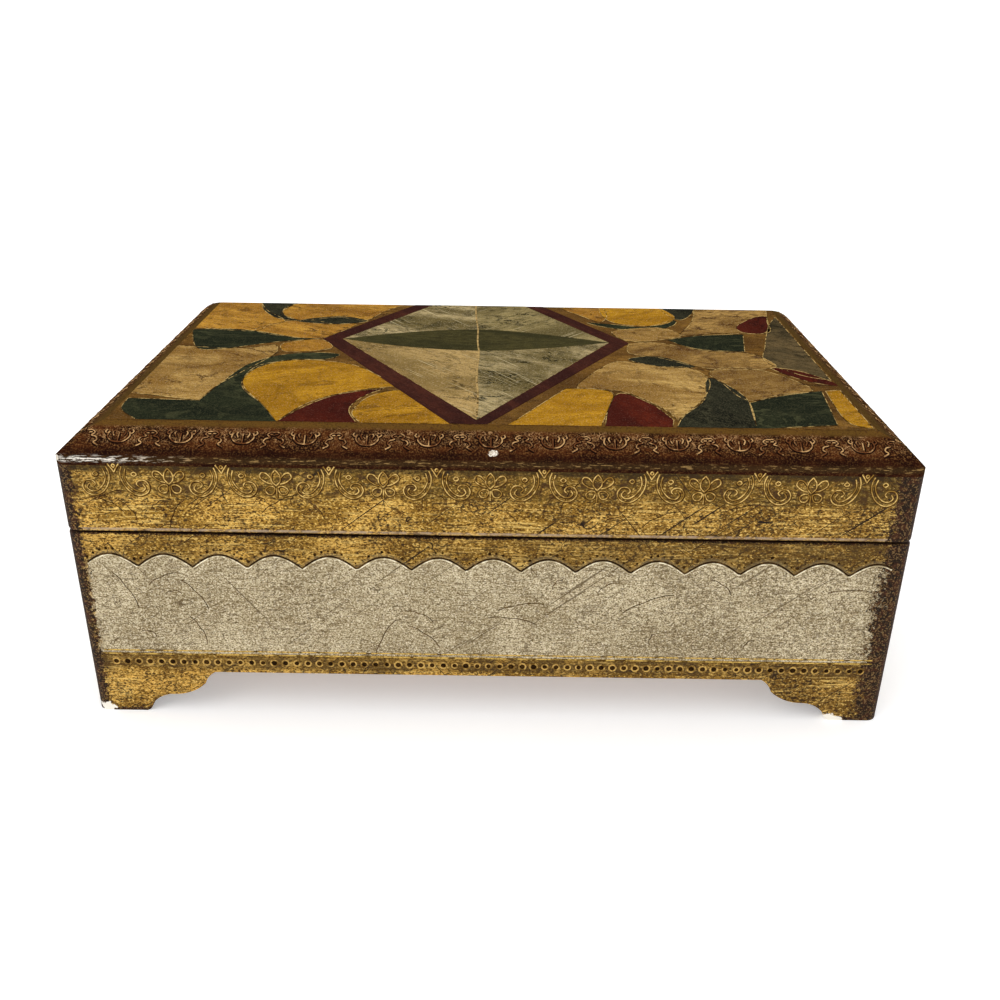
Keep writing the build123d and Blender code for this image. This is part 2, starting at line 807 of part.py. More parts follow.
def bearing_post(x, foot_side):
    """Upright that carries the drum arbor, with a foot towards foot_side (-1 left, 1 right)."""
    top = drum_z
    half = post_width / 2
    upright = block(x, x + post_thickness, drum_y - half, drum_y + half, bed_top, top)
    upright += bar(half, x, x + post_thickness, drum_y, drum_z)
    foot_x = x + post_thickness if foot_side > 0 else x - post_foot
    upright += block(
        foot_x, foot_x + post_foot, drum_y - half, drum_y + half, bed_top, bed_top + post_foot_thickness
    )
    bore = drum_arbor_radius + running_clearance
    upright -= bar(bore, x - 1, x + post_thickness + 1, drum_y, drum_z, hole=True)
    screw_bore, hole_top = post_screw_radius + screw_clearance, bed_top + post_foot_thickness + 1
    return upright - post(screw_bore, foot_x + post_foot / 2, drum_y, bed_top - 1, hole_top, hole=True)


def post_screw_places():
    """The screw of each bearing post, in the middle of its foot."""
    return [(left_post_x + post_thickness + post_foot / 2, drum_y), (right_post_x - post_foot / 2, drum_y)]


def bearing_post_screws():
    """One screw through the foot of each post."""
    z = bed_top + post_foot_thickness + post_screw_head_height
    one = screw(post_screw_radius, post_screw_head, post_screw_head_height, post_screw_length, False)
    return Compound(children=[Pos(x, y, z) * one for x, y in post_screw_places()])


def comb_screw_places():
    """The two screws of the comb."""
    y = comb_rear_y + comb_heel_depth / 2
    return [(comb_middle_x - comb_screw_spread, y), (comb_middle_x + comb_screw_spread, y)]


def comb():
    """Steel comb whose teeth grow longer towards the bass end."""
    x0 = comb_middle_x - comb_width / 2
    plate = block(x0, x0 + comb_width, comb_rear_y, comb_tip_y, drum_z - comb_thickness, drum_z)
    for index in range(1, pin_rows):
        reach = comb_long_tooth + (comb_short_tooth - comb_long_tooth) * (index - 1) / (pin_rows - 2)
        middle = x0 + index * row_pitch
        plate -= block(
            middle - comb_slot / 2,
            middle + comb_slot / 2,
            comb_tip_y - reach,
            comb_tip_y + 1,
            drum_z - 2 * comb_thickness,
            drum_z + 1,
        )
    for x, y in comb_screw_places():
        plate -= post(comb_screw_radius + screw_clearance, x, y, bed_top, drum_z + 1, hole=True)
    return plate


def comb_heel():
    """Block that carries the comb at the height of the drum."""
    x0, y1 = comb_middle_x - comb_width / 2, comb_rear_y + comb_heel_depth
    heel = block(x0, x0 + comb_width, comb_rear_y, y1, bed_top, drum_z - comb_thickness)
    bore, bottom = comb_screw_radius + screw_clearance, drum_z - comb_screw_length + comb_screw_head_height
    for x, y in comb_screw_places():
        heel -= post(bore, x, y, bottom - comb_thickness, drum_z, hole=True)
    return heel


def comb_screws():
    """Screws that clamp the comb on its heel."""
    z = drum_z + comb_screw_head_height
    one = screw(comb_screw_radius, comb_screw_head, comb_screw_head_height, comb_screw_length, False)
    return Compound(children=[Pos(x, y, z) * one for x, y in comb_screw_places()])


def governor_screw_places():
    """The two screws through the base of the governor frame."""
    x = frame_right - frame_thickness - post_screw_head - screw_clearance
    middle = (frame_front + frame_cheek_width + upright_y) / 2
    step = post_screw_head + 0.3
    return [(x, middle - step), (x, middle + step)]


def governor_frame():
    """One-piece frame that carries the train arbor and the fly."""
    base_top = bed_top + frame_thickness
    frame = block(frame_left, frame_right, frame_front, frame_rear, bed_top, base_top)
    for x in (frame_left, frame_right - frame_thickness):
        cheek = block(x, x + frame_thickness, frame_front, frame_front + frame_cheek_width, base_top, train_z)
        frame += cheek + bar(frame_cheek_width / 2, x, x + frame_thickness, train_y, train_z)
    frame += block(
        fly_x - fly_radius + 0.5, fly_x + fly_radius - 0.5, upright_y, frame_rear, base_top, frame_arm_top
    )
    arm_half = frame_arm_width / 2
    frame += block(fly_x - arm_half, fly_x + arm_half, fly_y, upright_y, frame_arm_bottom, frame_arm_top)
    frame += post(arm_half, fly_x, fly_y, frame_arm_bottom, frame_arm_top)
    train_bore, fly_bore = train_arbor_radius + running_clearance, fly_arbor_radius + running_clearance
    frame -= bar(train_bore, frame_left - 1, frame_right + 1, train_y, train_z, hole=True)
    frame -= post(fly_bore, fly_x, fly_y, bed_top - 1, frame_arm_top + 1, hole=True)
    for x, y in governor_screw_places():
        frame -= post(post_screw_radius + screw_clearance, x, y, bed_top - 1, base_top + 1, hole=True)
    return frame


def governor_screws():
    """Screws that hold the governor frame on the bed."""
    z = bed_top + frame_thickness + post_screw_head_height
    one = screw(post_screw_radius, post_screw_head, post_screw_head_height, post_screw_length, False)
    return Compound(children=[Pos(x, y, z) * one for x, y in governor_screw_places()])


def governor_arbor():
    """Arbor of the governor with its pinion cut on it."""
    arbor = bar(train_arbor_radius, frame_left, frame_right, train_y, train_z)
    outline = gear_outline(train_module, train_pinion_teeth, train_angle + 180 + 180 / train_pinion_teeth)
    return arbor + spur_gear(
        outline, train_pinion_width, drum_gear_x, train_y, train_z, train_arbor_radius / 2
    )


def worm_wheel():
    """Wheel that drives the worm of the fly."""
    outline = gear_outline(worm_module, worm_wheel_teeth, 0, worm_wheel_addendum)
    wheel = spur_gear(outline, worm_wheel_width, worm_wheel_x, train_y, train_z, train_arbor_radius)
    half = wheel_hub_width / 2
    hub = bar(wheel_hub_radius, worm_wheel_x - half, worm_wheel_x + half, train_y, train_z)
    return wheel + (hub - bar(train_arbor_radius, frame_left, frame_right, train_y, train_z))


def fly_worm():
    """Upright arbor of the fly with its one-start worm: an eccentric section that turns as it climbs."""
    offset = (worm_outer_radius - worm_core_radius) / 2
    section = Pos(offset, 0) * RegularPolygon((worm_outer_radius + worm_core_radius) / 2, worm_steps)
    start = 90 - 360 * (train_z - worm_bottom) / worm_lead
    layers = []
    for index in range(round(worm_length / worm_lead * worm_steps) + 1):
        turn = 360 * index / worm_steps
        height = worm_bottom + worm_lead * turn / 360
        layers.append(Pos(fly_x, fly_y, height) * Rot(0, 0, start + turn) * section)
    return loft(layers, ruled=True) + post(fly_arbor_radius, fly_x, fly_y, bed_top, frame_arm_top)


def fly_blades():
    """Two air blades and the brake disc that the stop wire catches, on one sleeve."""
    sleeve = post(fly_hub_radius, fly_x, fly_y, blade_bottom, brake_top)
    sleeve += post(brake_radius, fly_x, fly_y, brake_bottom, brake_top)
    blade = block(
        fly_x - fly_radius,
        fly_x + fly_radius,
        fly_y - fly_blade_thickness / 2,
        fly_y + fly_blade_thickness / 2,
        blade_bottom,
        blade_bottom + fly_blade_height,
    )
    return (sleeve + blade) - post(fly_arbor_radius, fly_x, fly_y, blade_bottom - 1, brake_top + 1)


def stop_lever():
    """Wire lever: a hub on its screw, an arm to the rear, a rod up to the lid, a finger over the brake."""
    half = stop_hub_width / 2
    hub = bar(stop_hub_radius, stop_wire_x - half, stop_wire_x + half, stop_pivot_y, stop_wire_z)
    arm_start = stop_pivot_y + (stop_screw_radius + stop_hub_clearance + stop_hub_radius) / 2
    arm = Rot(-90, 0, 0) * extrude(round_section(stop_wire_radius), stop_rod_y - arm_start)
    arm = Pos(stop_wire_x, arm_start, stop_wire_z) * arm
    rod = post(stop_rod_radius, stop_wire_x, stop_rod_y, stop_wire_z - stop_rod_radius, stop_rod_top)
    finger_end = fly_x - brake_radius + stop_finger_overlap
    finger = bar(stop_finger_radius, stop_wire_x, finger_end, fly_y, stop_wire_z)
    lever = hub + arm + rod + finger
    bore = stop_screw_radius + stop_hub_clearance
    reach = 2 * half
    return lever - bar(bore, stop_wire_x - reach, stop_wire_x + reach, stop_pivot_y, stop_wire_z, hole=True)


def stop_lever_screw():
    """Shouldered screw in the left board that the stop wire turns on."""
    head_end = stop_screw_head_x + stop_screw_head_height
    length = head_end - (-inner_half_width - stop_screw_in_wood)
    one = screw(stop_screw_radius, stop_screw_head, stop_screw_head_height, length, False)
    return Pos(head_end, stop_pivot_y, stop_wire_z) * Rot(0, 90, 0) * one


def large_well_box():
    """Corners of the large well, on the floor between the partition and the boards."""
    return partition_right, inner_half_width, -inner_half_depth, inner_half_depth


def small_well_box():
    """Corners of the small well, in front of the movement."""
    return -inner_half_width, partition_left, -inner_half_depth, cross_front


def well_pad(x0, x1, y0, y1):
    """Floor pad inside the lining of a well."""
    inset = lining_thickness + pad_clearance
    return pad(x0 + inset, x1 - inset, y0 + inset, y1 - inset, floor_level, 1)


def build_nodes():
    """Every piece of the box, by name."""
    nodes = {}
    nodes.update(carcass_boards())
    nodes["bottom_board"] = bottom_board()
    nodes["long_partition"] = block(
        partition_left, partition_right, -inner_half_depth, inner_half_depth, floor_level, partition_top
    )
    nodes["cross_partition"] = block(
        -inner_half_width, partition_left, cross_front, cross_rear, floor_level, partition_top
    )
    nodes["cover_ledges"] = cover_ledges()
    nodes["movement_cover"] = movement_cover()
    rim = carcass_height - lining_drop
    nodes["large_well_lining"] = lining(
        *large_well_box(), floor_level, (rim, rim, partition_top, rim), lining_thickness
    )
    nodes["small_well_lining"] = lining(
        *small_well_box(), floor_level, (rim, partition_top, rim, partition_top), lining_thickness
    )
    nodes["large_well_pad"] = well_pad(*large_well_box())
    nodes["small_well_pad"] = well_pad(*small_well_box())
    nodes.update(lid_rims())
    nodes["lid_top_board"] = lid_top_board()
    nodes["inlay_print"] = inlay_print()
    nodes["lid_lining_frame"] = lining(
        -inner_half_width,
        inner_half_width,
        -inner_half_depth,
        inner_half_depth,
        lid_bottom + lining_drop,
        (lid_ceiling,) * 4,
        lid_lining_thickness,
    )
    inset = lid_lining_thickness + pad_clearance
    nodes["lid_pad"] = pad(
        -inner_half_width + inset,
        inner_half_width - inset,
        -inner_half_depth + inset,
        inner_half_depth - inset,
        lid_ceiling,
        -1,
    )
    for name, side in (("left", -1), ("right", 1)):
        nodes[f"{name}_hinge_lower_leaf"] = hinge_leaf(side, -1)
        nodes[f"{name}_hinge_upper_leaf"] = hinge_leaf(side, 1)
        nodes[f"{name}_hinge_pin"] = hinge_pin(side)
    nodes["lower_hinge_screws"] = hinge_screws(-1)
    nodes["upper_hinge_screws"] = hinge_screws(1)
    nodes["bedplate"] = bedplate()
    nodes["bedplate_screws"] = bed_screws()
    nodes["spring_barrel"] = spring_barrel()
    nodes["barrel_cap"] = barrel_cap()
    nodes["mainspring"] = mainspring()
    nodes["winding_arbor"] = winding_arbor()
    nodes["winding_key"] = winding_key()
    nodes["cylinder_drum"] = cylinder_drum()
    nodes["cylinder_arbor"] = cylinder_arbor()
    nodes["cylinder_pinion"] = cylinder_pinion()
    nodes["cylinder_gear"] = cylinder_gear()
    nodes["left_bearing_post"] = bearing_post(left_post_x, 1)
    nodes["right_bearing_post"] = bearing_post(right_post_x, -1)
    nodes["bearing_post_screws"] = bearing_post_screws()
    nodes["comb"] = comb()
    nodes["comb_heel"] = comb_heel()
    nodes["comb_screws"] = comb_screws()
    nodes["governor_frame"] = governor_frame()
    nodes["governor_screws"] = governor_screws()
    nodes["governor_arbor"] = governor_arbor()
    nodes["worm_wheel"] = worm_wheel()
    nodes["fly_worm"] = fly_worm()
    nodes["fly_blades"] = fly_blades()
    nodes["stop_lever"] = stop_lever()
    nodes["stop_lever_screw"] = stop_lever_screw()
    return nodes


if __name__ == "__main__":
    os.makedirs("parts", exist_ok=True)
    for node, shape in build_nodes().items():
        export_step(shape, f"parts/{node}.step")
        print(node)
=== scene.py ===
# %% [markdown]
# # A gilded wooden jewelry box with a music movement
# The box is leaf-gilded wood of the Florentine kind: antiqued gold on the lid's sides and the
# feet, silver on the body, red bole where the leaf is worn through, tooled and punched borders,
# and a varnished print of stone inlay on the lid. Under the lid are velvet, and a small cylinder
# movement under a clear cover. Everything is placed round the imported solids, which stay as they are.

# %% Load the frame
import math
import random

import bmesh
import bpy
from mathutils import Matrix, Vector


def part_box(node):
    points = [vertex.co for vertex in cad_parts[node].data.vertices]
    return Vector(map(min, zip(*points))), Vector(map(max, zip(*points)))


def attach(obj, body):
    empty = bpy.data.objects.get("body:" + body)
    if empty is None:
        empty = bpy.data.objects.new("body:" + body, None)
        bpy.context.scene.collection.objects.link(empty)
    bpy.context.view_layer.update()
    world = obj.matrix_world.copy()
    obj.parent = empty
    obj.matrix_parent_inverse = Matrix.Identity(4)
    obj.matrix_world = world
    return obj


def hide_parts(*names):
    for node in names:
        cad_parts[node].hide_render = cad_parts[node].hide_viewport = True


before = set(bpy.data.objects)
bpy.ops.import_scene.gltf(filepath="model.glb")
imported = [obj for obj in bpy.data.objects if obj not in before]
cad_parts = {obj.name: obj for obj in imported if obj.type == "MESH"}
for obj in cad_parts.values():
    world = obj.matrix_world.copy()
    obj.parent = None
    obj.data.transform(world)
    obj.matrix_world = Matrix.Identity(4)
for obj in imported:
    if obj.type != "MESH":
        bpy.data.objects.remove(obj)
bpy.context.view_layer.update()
MM = 0.001


def box_mm(node):
    """Lowest and highest corner of a node, in millimetres."""
    low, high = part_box(node)
    return [value / MM for value in low], [value / MM for value in high]


half_width = box_mm("right_board")[1][0]
half_depth = box_mm("back_board")[1][1]
carcass_top = box_mm("front_board")[1][2]
lid_bottom = box_mm("lid_front_rim")[0][2]
board_edge = 1.5
shoulder_foot = round(box_mm("lid_front_rim")[1][2] + board_edge, 2)
lid_top = box_mm("inlay_print")[0][2]
print_top = box_mm("inlay_print")[1][2]
print_half = (box_mm("inlay_print")[1][0], box_mm("inlay_print")[1][1])
shoulder_inset = half_width - print_half[0] - 0.5
print("half width and depth:", half_width, half_depth, "lid from", lid_bottom, "to", print_top)

# %% [markdown]
# ## A shorthand for materials
# A material is a small graph of nodes. Every finish here starts from the point's place on the
# object in millimetres, so a pattern has its true scale and passes from one board to the next
# without a seam. A short class keeps each later recipe down to a few readable lines.


# %% Colours and nodes
def srgb(red, green, blue):
    """A colour read off a screen, 0 to 255, as the linear colour that shaders use."""

    def linear(value):
        return ((value / 255 + 0.055) / 1.055) ** 2.4 if value > 10 else value / 3294

    return linear(red), linear(green), linear(blue), 1.0


def feed(socket, value):
    """Links an input to another node's output, or gives it a plain value."""
    if isinstance(value, bpy.types.NodeSocket):
        socket.id_data.links.new(value, socket)
    else:
        socket.default_value = value


def add_node(tree, kind, inputs=None, **settings):
    """A new node with its settings, then its inputs by name or number."""
    made = tree.nodes.new(kind)
    for name, value in settings.items():
        setattr(made, name, value)
    for place, value in (inputs or {}).items():
        feed(made.inputs[place], value)
    return made


def node_math(tree, operation, *values):
    """One step of arithmetic on other nodes' outputs or plain numbers."""
    return add_node(tree, "ShaderNodeMath", dict(enumerate(values)), operation=operation).outputs[0]


# %% A class that wires shader nodes
class Finish:
    """One procedural material, with its surface shader and its place in millimetres."""

    def __init__(self, name):
        self.material = bpy.data.materials.new(name)
        self.material.use_nodes = True
        self.tree = self.material.node_tree
        self.tree.nodes.clear()
        self.surface = self.node("ShaderNodeBsdfPrincipled")
        self.node("ShaderNodeOutputMaterial", {"Surface": self.surface.outputs[0]})
        place = self.node("ShaderNodeTexCoord").outputs["Object"]
        in_mm = {0: place, "Scale": 1 / MM}
        self.place = self.node("ShaderNodeVectorMath", in_mm, operation="SCALE").outputs[0]
        self.x, self.y, self.z = self.node("ShaderNodeSeparateXYZ", {0: self.place}).outputs

    def node(self, kind, inputs=None, **settings):
        return add_node(self.tree, kind, inputs, **settings)

    def math(self, operation, *values):
        return node_math(self.tree, operation, *values)

    def scaled(self, value, factor, onto):
        """A value times a factor, added onto another."""
        return self.math("MULTIPLY_ADD", value, factor, onto)

    def times(self, first, *rest):
        """The product of all values."""
        for value in rest:
            first = self.math("MULTIPLY", first, value)
        return first

    def most(self, first, *rest):
        """The largest of all values."""
        for value in rest:
            first = self.math("MAXIMUM", first, value)
        return first

    def vector(self, operation, *values):
        made = self.node("ShaderNodeVectorMath", dict(enumerate(values)), operation=operation)
        return made.outputs["Value"] if operation in ("LENGTH", "DISTANCE") else made.outputs[0]

    def turned(self, degrees, stretch, axis="Z"):
        """The place turned about an axis, then stretched, for grain that runs at an angle."""
        inputs = {"Vector": self.place, "Angle": math.radians(degrees)}
        made = self.node("ShaderNodeVectorRotate", inputs, rotation_type=f"{axis}_AXIS")
        return self.vector("MULTIPLY", made.outputs[0], stretch)

    def noise(self, size, detail, stretch=(1, 1, 1), seed=0.0, place=None, bend=0.0, rough=0.55):
        """Cloudy noise whose blotches are about size millimetres across, 0 to 1."""
        start = (seed * 7.3, seed * 3.1, seed * 5.7)
        moved = self.vector("MULTIPLY_ADD", place or self.place, stretch, start)
        look = {"Vector": moved, "Scale": 1 / size, "Detail": detail, "Roughness": rough, "Distortion": bend}
        return self.node("ShaderNodeTexNoise", look).outputs[0]

    def rise(self, value, low, high):
        """0 below low, 1 above high and smooth between; the other way round if low is the larger."""
        first, last = (0.0, 1.0) if low < high else (1.0, 0.0)
        limits = {0: value, 1: min(low, high), 2: max(low, high), 3: first, 4: last}
        return self.node("ShaderNodeMapRange", limits, interpolation_type="SMOOTHSTEP", clamp=True).outputs[0]

    def patches(self, size, detail, low, high, **look):
        """Noise cut to patches: 0 where it is below low, 1 where it is above high."""
        return self.rise(self.noise(size, detail, **look), low, high)

    def line(self, value, middle, width):
        """1 where value passes middle, 0 further off than width."""
        return self.rise(self.math("ABSOLUTE", self.math("SUBTRACT", value, middle)), width, width * 0.4)

    def spot(self, point, size, stretch=(1, 1, 1), ragged=0.6, seed=0.0):
        """1 inside a ragged patch round a point in millimetres."""
        away = self.vector("MULTIPLY", self.vector("SUBTRACT", self.place, point), stretch)
        edge = self.scaled(self.noise(1.1, 3, seed=seed), ragged * size * 2, self.vector("LENGTH", away))
        return self.rise(edge, size * (1 + ragged), size * (0.85 + ragged))

    def mix(self, share, first, second):
        """From one colour to another."""
        return self.node("ShaderNodeMix", {0: share, 6: first, 7: second}, data_type="RGBA").outputs[2]

    def between(self, share, first, second):
        """From one number to another."""
        return self.node("ShaderNodeMix", {0: share, 2: first, 3: second}, data_type="FLOAT").outputs[0]

    def over(self, colour, tint, *shares):
        """A colour with a tint laid over it, as strongly as the product of the shares."""
        return self.mix(self.times(*shares), colour, tint)

    def relief(self, height, strength, distance):
        """Bump from a height between 0 and 1; distance is in millimetres."""
        look = {"Height": height, "Strength": strength, "Distance": distance * MM}
        feed(self.surface.inputs["Normal"], self.node("ShaderNodeBump", look).outputs[0])

    def done(self, colour, roughness, metallic=0.0, **rest):
        """Feeds the surface shader and gives back the material."""
        looks = {"Base Color": colour, "Roughness": roughness, "Metallic": metallic, **rest}
        for label, value in looks.items():
            feed(self.surface.inputs[label.replace("_", " ")], value)
        return self.material


gold_light = srgb(196, 153, 72)
gold_mid = srgb(146, 110, 42)
gold_shade = srgb(108, 78, 30)
gold_glint = srgb(226, 190, 108)
silver_light = srgb(190, 176, 144)
silver_mid = srgb(166, 152, 121)
silver_glint = srgb(228, 218, 192)
bole = srgb(58, 32, 17)
patina = srgb(30, 20, 12)
grain_dark = srgb(82, 54, 20)
gesso = srgb(232, 226, 214)
print("palette ready")

# %% [markdown]
# ## Camera, floor and light
# The camera stands where the photograph's did: hardly off the middle, about 285 mm in front of the
# box's centre and 165 mm up, looking down by about 25 degrees. Its lens and place were solved from
# the box's corners. The floor is a pale sheet that curves up far away on all sides, as a studio
# sweep does, and large soft lights leave hardly any shadow.

# %% Camera
camera_place = Vector((0.0022, -0.2835, 0.1652))
camera_yaw, camera_pitch, camera_roll = 0.0005, 0.4406, 0.015
camera_lens = 37.12


def add_object(name, data):
    """A new object that shows this data."""
    made = bpy.data.objects.new(name, data)
    bpy.context.collection.objects.link(made)
    return made


forward = Vector((
    math.sin(camera_yaw) * math.cos(camera_pitch),
    math.cos(camera_yaw) * math.cos(camera_pitch),
    -math.sin(camera_pitch),
))
level = Vector((math.cos(camera_yaw), -math.sin(camera_yaw), 0))
upward = level.cross(forward)
right = level * math.cos(camera_roll) + upward * math.sin(camera_roll)
upward = upward * math.cos(camera_roll) - level * math.sin(camera_roll)
camera_data = bpy.data.cameras.new("camera")
camera_data.lens = camera_lens
camera_data.sensor_width = 36
camera_data.clip_start = 0.01
camera = add_object("camera", camera_data)
turn = Matrix((right, upward, -forward)).transposed()
camera.matrix_world = Matrix.Translation(camera_place) @ turn.to_4x4()
bpy.context.scene.camera = camera
print("camera at", tuple(camera_place))


# %% Meshes from points
def piece_from(name, verts, faces, material, smooth=True):
    """A mesh object from points in millimetres, at the origin and unscaled."""
    mesh = bpy.data.meshes.new(name)
    mesh.from_pydata([Vector(point) * MM for point in verts], [], faces)
    mesh.materials.append(material)
    mesh.polygons.foreach_set("use_smooth", [smooth] * len(mesh.polygons))
    mesh.update()
    return add_object(name, mesh)


# %% Studio floor
floor_finish = Finish("studio_floor")
floor_tone = floor_finish.mix(floor_finish.noise(400, 2), srgb(250, 250, 250), srgb(244, 244, 245))
far = floor_finish.rise(floor_finish.vector("LENGTH", floor_finish.place), 350, 900)
glow = floor_finish.between(far, 0.3, 0.46)
floor_finish.done(floor_tone, 0.9, Emission_Color=srgb(250, 250, 250), Emission_Strength=glow)
sweep_rings = [(2500, 0), (3000, 80), (3400, 400), (3600, 1100), (3650, 2200)]
ring_steps = 48
sweep_verts = [(0, 0, 0)]
for ring_radius, ring_height in sweep_rings:
    for step in range(ring_steps):
        angle = 2 * math.pi * step / ring_steps
        sweep_verts.append((ring_radius * math.cos(angle), ring_radius * math.sin(angle), ring_height))
sweep_faces = [(0, 1 + step, 1 + (step + 1) % ring_steps) for step in range(ring_steps)]
for ring in range(len(sweep_rings) - 1):
    for step in range(ring_steps):
        here = 1 + ring * ring_steps + step
        beside = 1 + ring * ring_steps + (step + 1) % ring_steps
        sweep_faces.append((here, here + ring_steps, beside + ring_steps, beside))
floor = piece_from("studio_floor", sweep_verts, sweep_faces, floor_finish.material)
print("floor:", len(sweep_faces), "faces")


# %% Studio lights
def soft_light(name, place, target, size, power, tint=(1.0, 1.0, 1.0)):
    """A round light that faces its target."""
    data = bpy.data.lights.new(name, "AREA")
    data.shape = "DISK"
    data.size = size
    data.energy = power
    data.color = tint
    aim = (Vector(target) - Vector(place)).to_track_quat("-Z", "Y")
    add_object(name, data).matrix_world = Matrix.Translation(Vector(place)) @ aim.to_matrix().to_4x4()


soft_light("key_light", (-0.55, -0.75, 1.05), (0, 0, 0.03), 0.9, 4.0, (1.0, 0.98, 0.95))
soft_light("fill_light", (0.9, -0.7, 0.8), (0, 0, 0.03), 1.0, 0.8)
soft_light("top_light", (0.0, 0.1, 1.5), (0, 0, 0.05), 1.2, 4.5)
world = bpy.data.worlds.new("studio_air")
world.use_nodes = True
background = world.node_tree.nodes["Background"]
background.inputs["Color"].default_value = (1.0, 1.0, 1.0, 1.0)
background.inputs["Strength"].default_value = 0.6
bpy.context.scene.world = world
bpy.context.scene.view_settings.view_transform = "Standard"
print("three soft lights and a white surround")

# %% [markdown]
# ## Antiqued gold and silver leaf
# On the real box thin leaf lies over red clay (bole) on white gesso. Rubbing, glaze and age leave
# dark specks, fine level strokes of the brush, hair cracks, scratches, bole at every edge and a few
# white chips. A painted-on picture could copy that, but noise of the right size and direction gives
# the same look from any side, so the leaf is made of layers of noise, each with one task.


# %% Where a point lies on the box's sides
def side_places(finish):
    """Depth below the nearest side, distance to the next corner, place along it, and 1 on an end."""
    to_side = finish.math("SUBTRACT", half_width, finish.math("ABSOLUTE", finish.x))
    to_front = finish.math("SUBTRACT", half_depth, finish.math("ABSOLUTE", finish.y))
    on_end = finish.math("LESS_THAN", to_side, to_front)
    depth = finish.math("MINIMUM", to_side, to_front)
    corner = finish.math("MAXIMUM", to_side, to_front)
    along = finish.between(on_end, finish.x, finish.y)
    return depth, corner, along, on_end


def old_end(finish):
    """Grows from 0 at the left to 1 at the right end, where the leaf is darker with handling."""
    drift = finish.scaled(finish.noise(26, 3, seed=16), 70.0, finish.x)
    return finish.rise(drift, 0.0, 130.0)


# %% Layers of the gold leaf
def rubbed_gold(finish, age):
    """Two tones of gold with darker blotches, fine grain and bright level strokes of the brush."""
    tone = finish.noise(9, 5, stretch=(0.5, 0.5, 1), seed=1)
    colour = finish.mix(finish.rise(tone, 0.42, 0.58), gold_mid, gold_light)
    blotch = finish.patches(2.6, 4, 0.47, 0.64, stretch=(0.7, 0.7, 1), seed=2, rough=0.7)
    colour = finish.over(colour, gold_shade, blotch, 0.8)
    colour = finish.over(colour, gold_shade, age, 0.62)
    grain = finish.noise(0.34, 1.5, stretch=(0.6, 0.6, 1), seed=4)
    colour = finish.over(colour, grain_dark, finish.rise(grain, 0.50, 0.64))
    colour = finish.over(colour, gold_glint, finish.rise(grain, 0.44, 0.30), 0.9)
    brushed = finish.patches(0.5, 2, 0.54, 0.62, stretch=(0.05, 0.05, 1), seed=18)
    colour = finish.over(colour, gold_glint, brushed, finish.patches(11, 2, 0.42, 0.58, seed=19), 0.6)
    marks = finish.line(finish.noise(1.9, 2, seed=15, bend=1.2), 0.5, 0.035)
    colour = finish.over(colour, grain_dark, marks, finish.patches(6, 2, 0.48, 0.6, seed=17), 0.75)
    return colour, tone


def leaf_dirt(finish, age):
    """Dark specks, level strokes, hair cracks and slanting scratches, denser where the leaf is old."""
    crowd = finish.scaled(age, 0.5, finish.patches(10, 4, 0.36, 0.66, seed=3))
    specks = finish.noise(0.75, 3, stretch=(0.65, 0.65, 1), seed=14, rough=0.7)
    specks = finish.rise(finish.scaled(crowd, 0.06, specks), 0.58, 0.64)
    strokes = finish.patches(0.36, 2, 0.59, 0.65, stretch=(0.06, 0.06, 1), seed=5)
    strokes = finish.times(strokes, finish.patches(14, 2, 0.36, 0.54, seed=6), 0.8)
    cracks = finish.line(finish.noise(9, 1.5, seed=7, bend=0.8), 0.5, 0.006)
    cracks = finish.times(cracks, finish.patches(13, 2, 0.47, 0.55, seed=8))
    scratches = finish.patches(0.9, 1, 0.71, 0.735, place=finish.turned(38, (0.03, 1.6, 1.6), "Y"), seed=9)
    crossing = finish.patches(0.9, 1, 0.72, 0.745, place=finish.turned(-52, (0.025, 1.5, 1.5), "Y"), seed=10)
    scratches = finish.most(scratches, crossing)
    return finish.most(finish.times(specks, 0.85), finish.times(strokes, 0.8), cracks, scratches)


def gold_leaf(finish):
    """Colour, dirt and height of rubbed gold leaf."""
    age = old_end(finish)
    colour, tone = rubbed_gold(finish, age)
    dirt = leaf_dirt(finish, age)
    height = finish.math("SUBTRACT", finish.times(tone, 0.4), finish.times(dirt, 0.5))
    return finish.over(colour, patina, dirt), dirt, height


# %% Wear at the edges
def wear_to_bole(finish, colour, worn, seed):
    """Bole, then nearly black old glaze, where the leaf is rubbed away."""
    fleck = finish.math("SUBTRACT", finish.noise(0.9, 5, seed=seed, rough=0.72), 0.5)
    bare = finish.rise(finish.math("ADD", worn, finish.times(fleck, 2.6)), 0.44, 0.64)
    under = finish.mix(finish.patches(1.6, 3, 0.36, 0.56, seed=seed + 1), bole, patina)
    under = finish.over(under, srgb(126, 98, 60), finish.patches(0.45, 3, 0.52, 0.62, seed=seed + 2), 0.7)
    return finish.over(colour, under, bare), bare


def rubbed_corner(finish, corner):
    """Grows towards an upright corner, over a wider strip at the darker end."""
    reach = finish.between(old_end(finish), 6.4, 11.5)
    return finish.rise(finish.math("DIVIDE", corner, reach), 1.0, 0.2)


def bare_inside(finish, colour, depth, seed):
    """Bole and glaze on the faces that lie inside the box's outer skin."""
    within = finish.rise(depth, 0.4, 0.8)
    return finish.over(colour, finish.mix(finish.noise(3, 3, seed=seed), bole, patina), within), within


# %% [markdown]
# ## Carcass, lid's sides and shoulder
# The gilder laid silver on the body and gold above and below it, and the two meet at a scalloped
# line. A mask from the point's height and its place along the side does the same, so the line, the
# bands and the wear at the corners lie on every side without a picture to wrap round the box. The
# lid's shoulder carries hardly any leaf: it is dark bole with flecks of gold, chipped to the white
# gesso along its edge.

# %% Carcass: silver field between a scalloped gold band and the gold feet
scallop_rise = 3.4
scallop_valley = 42.8
scallop_shift = 1.0
band_low = 17.8
scallops_front, scallop_pitch_front = 15, 13.27
scallops_side, scallop_pitch_side = 10, 12.66


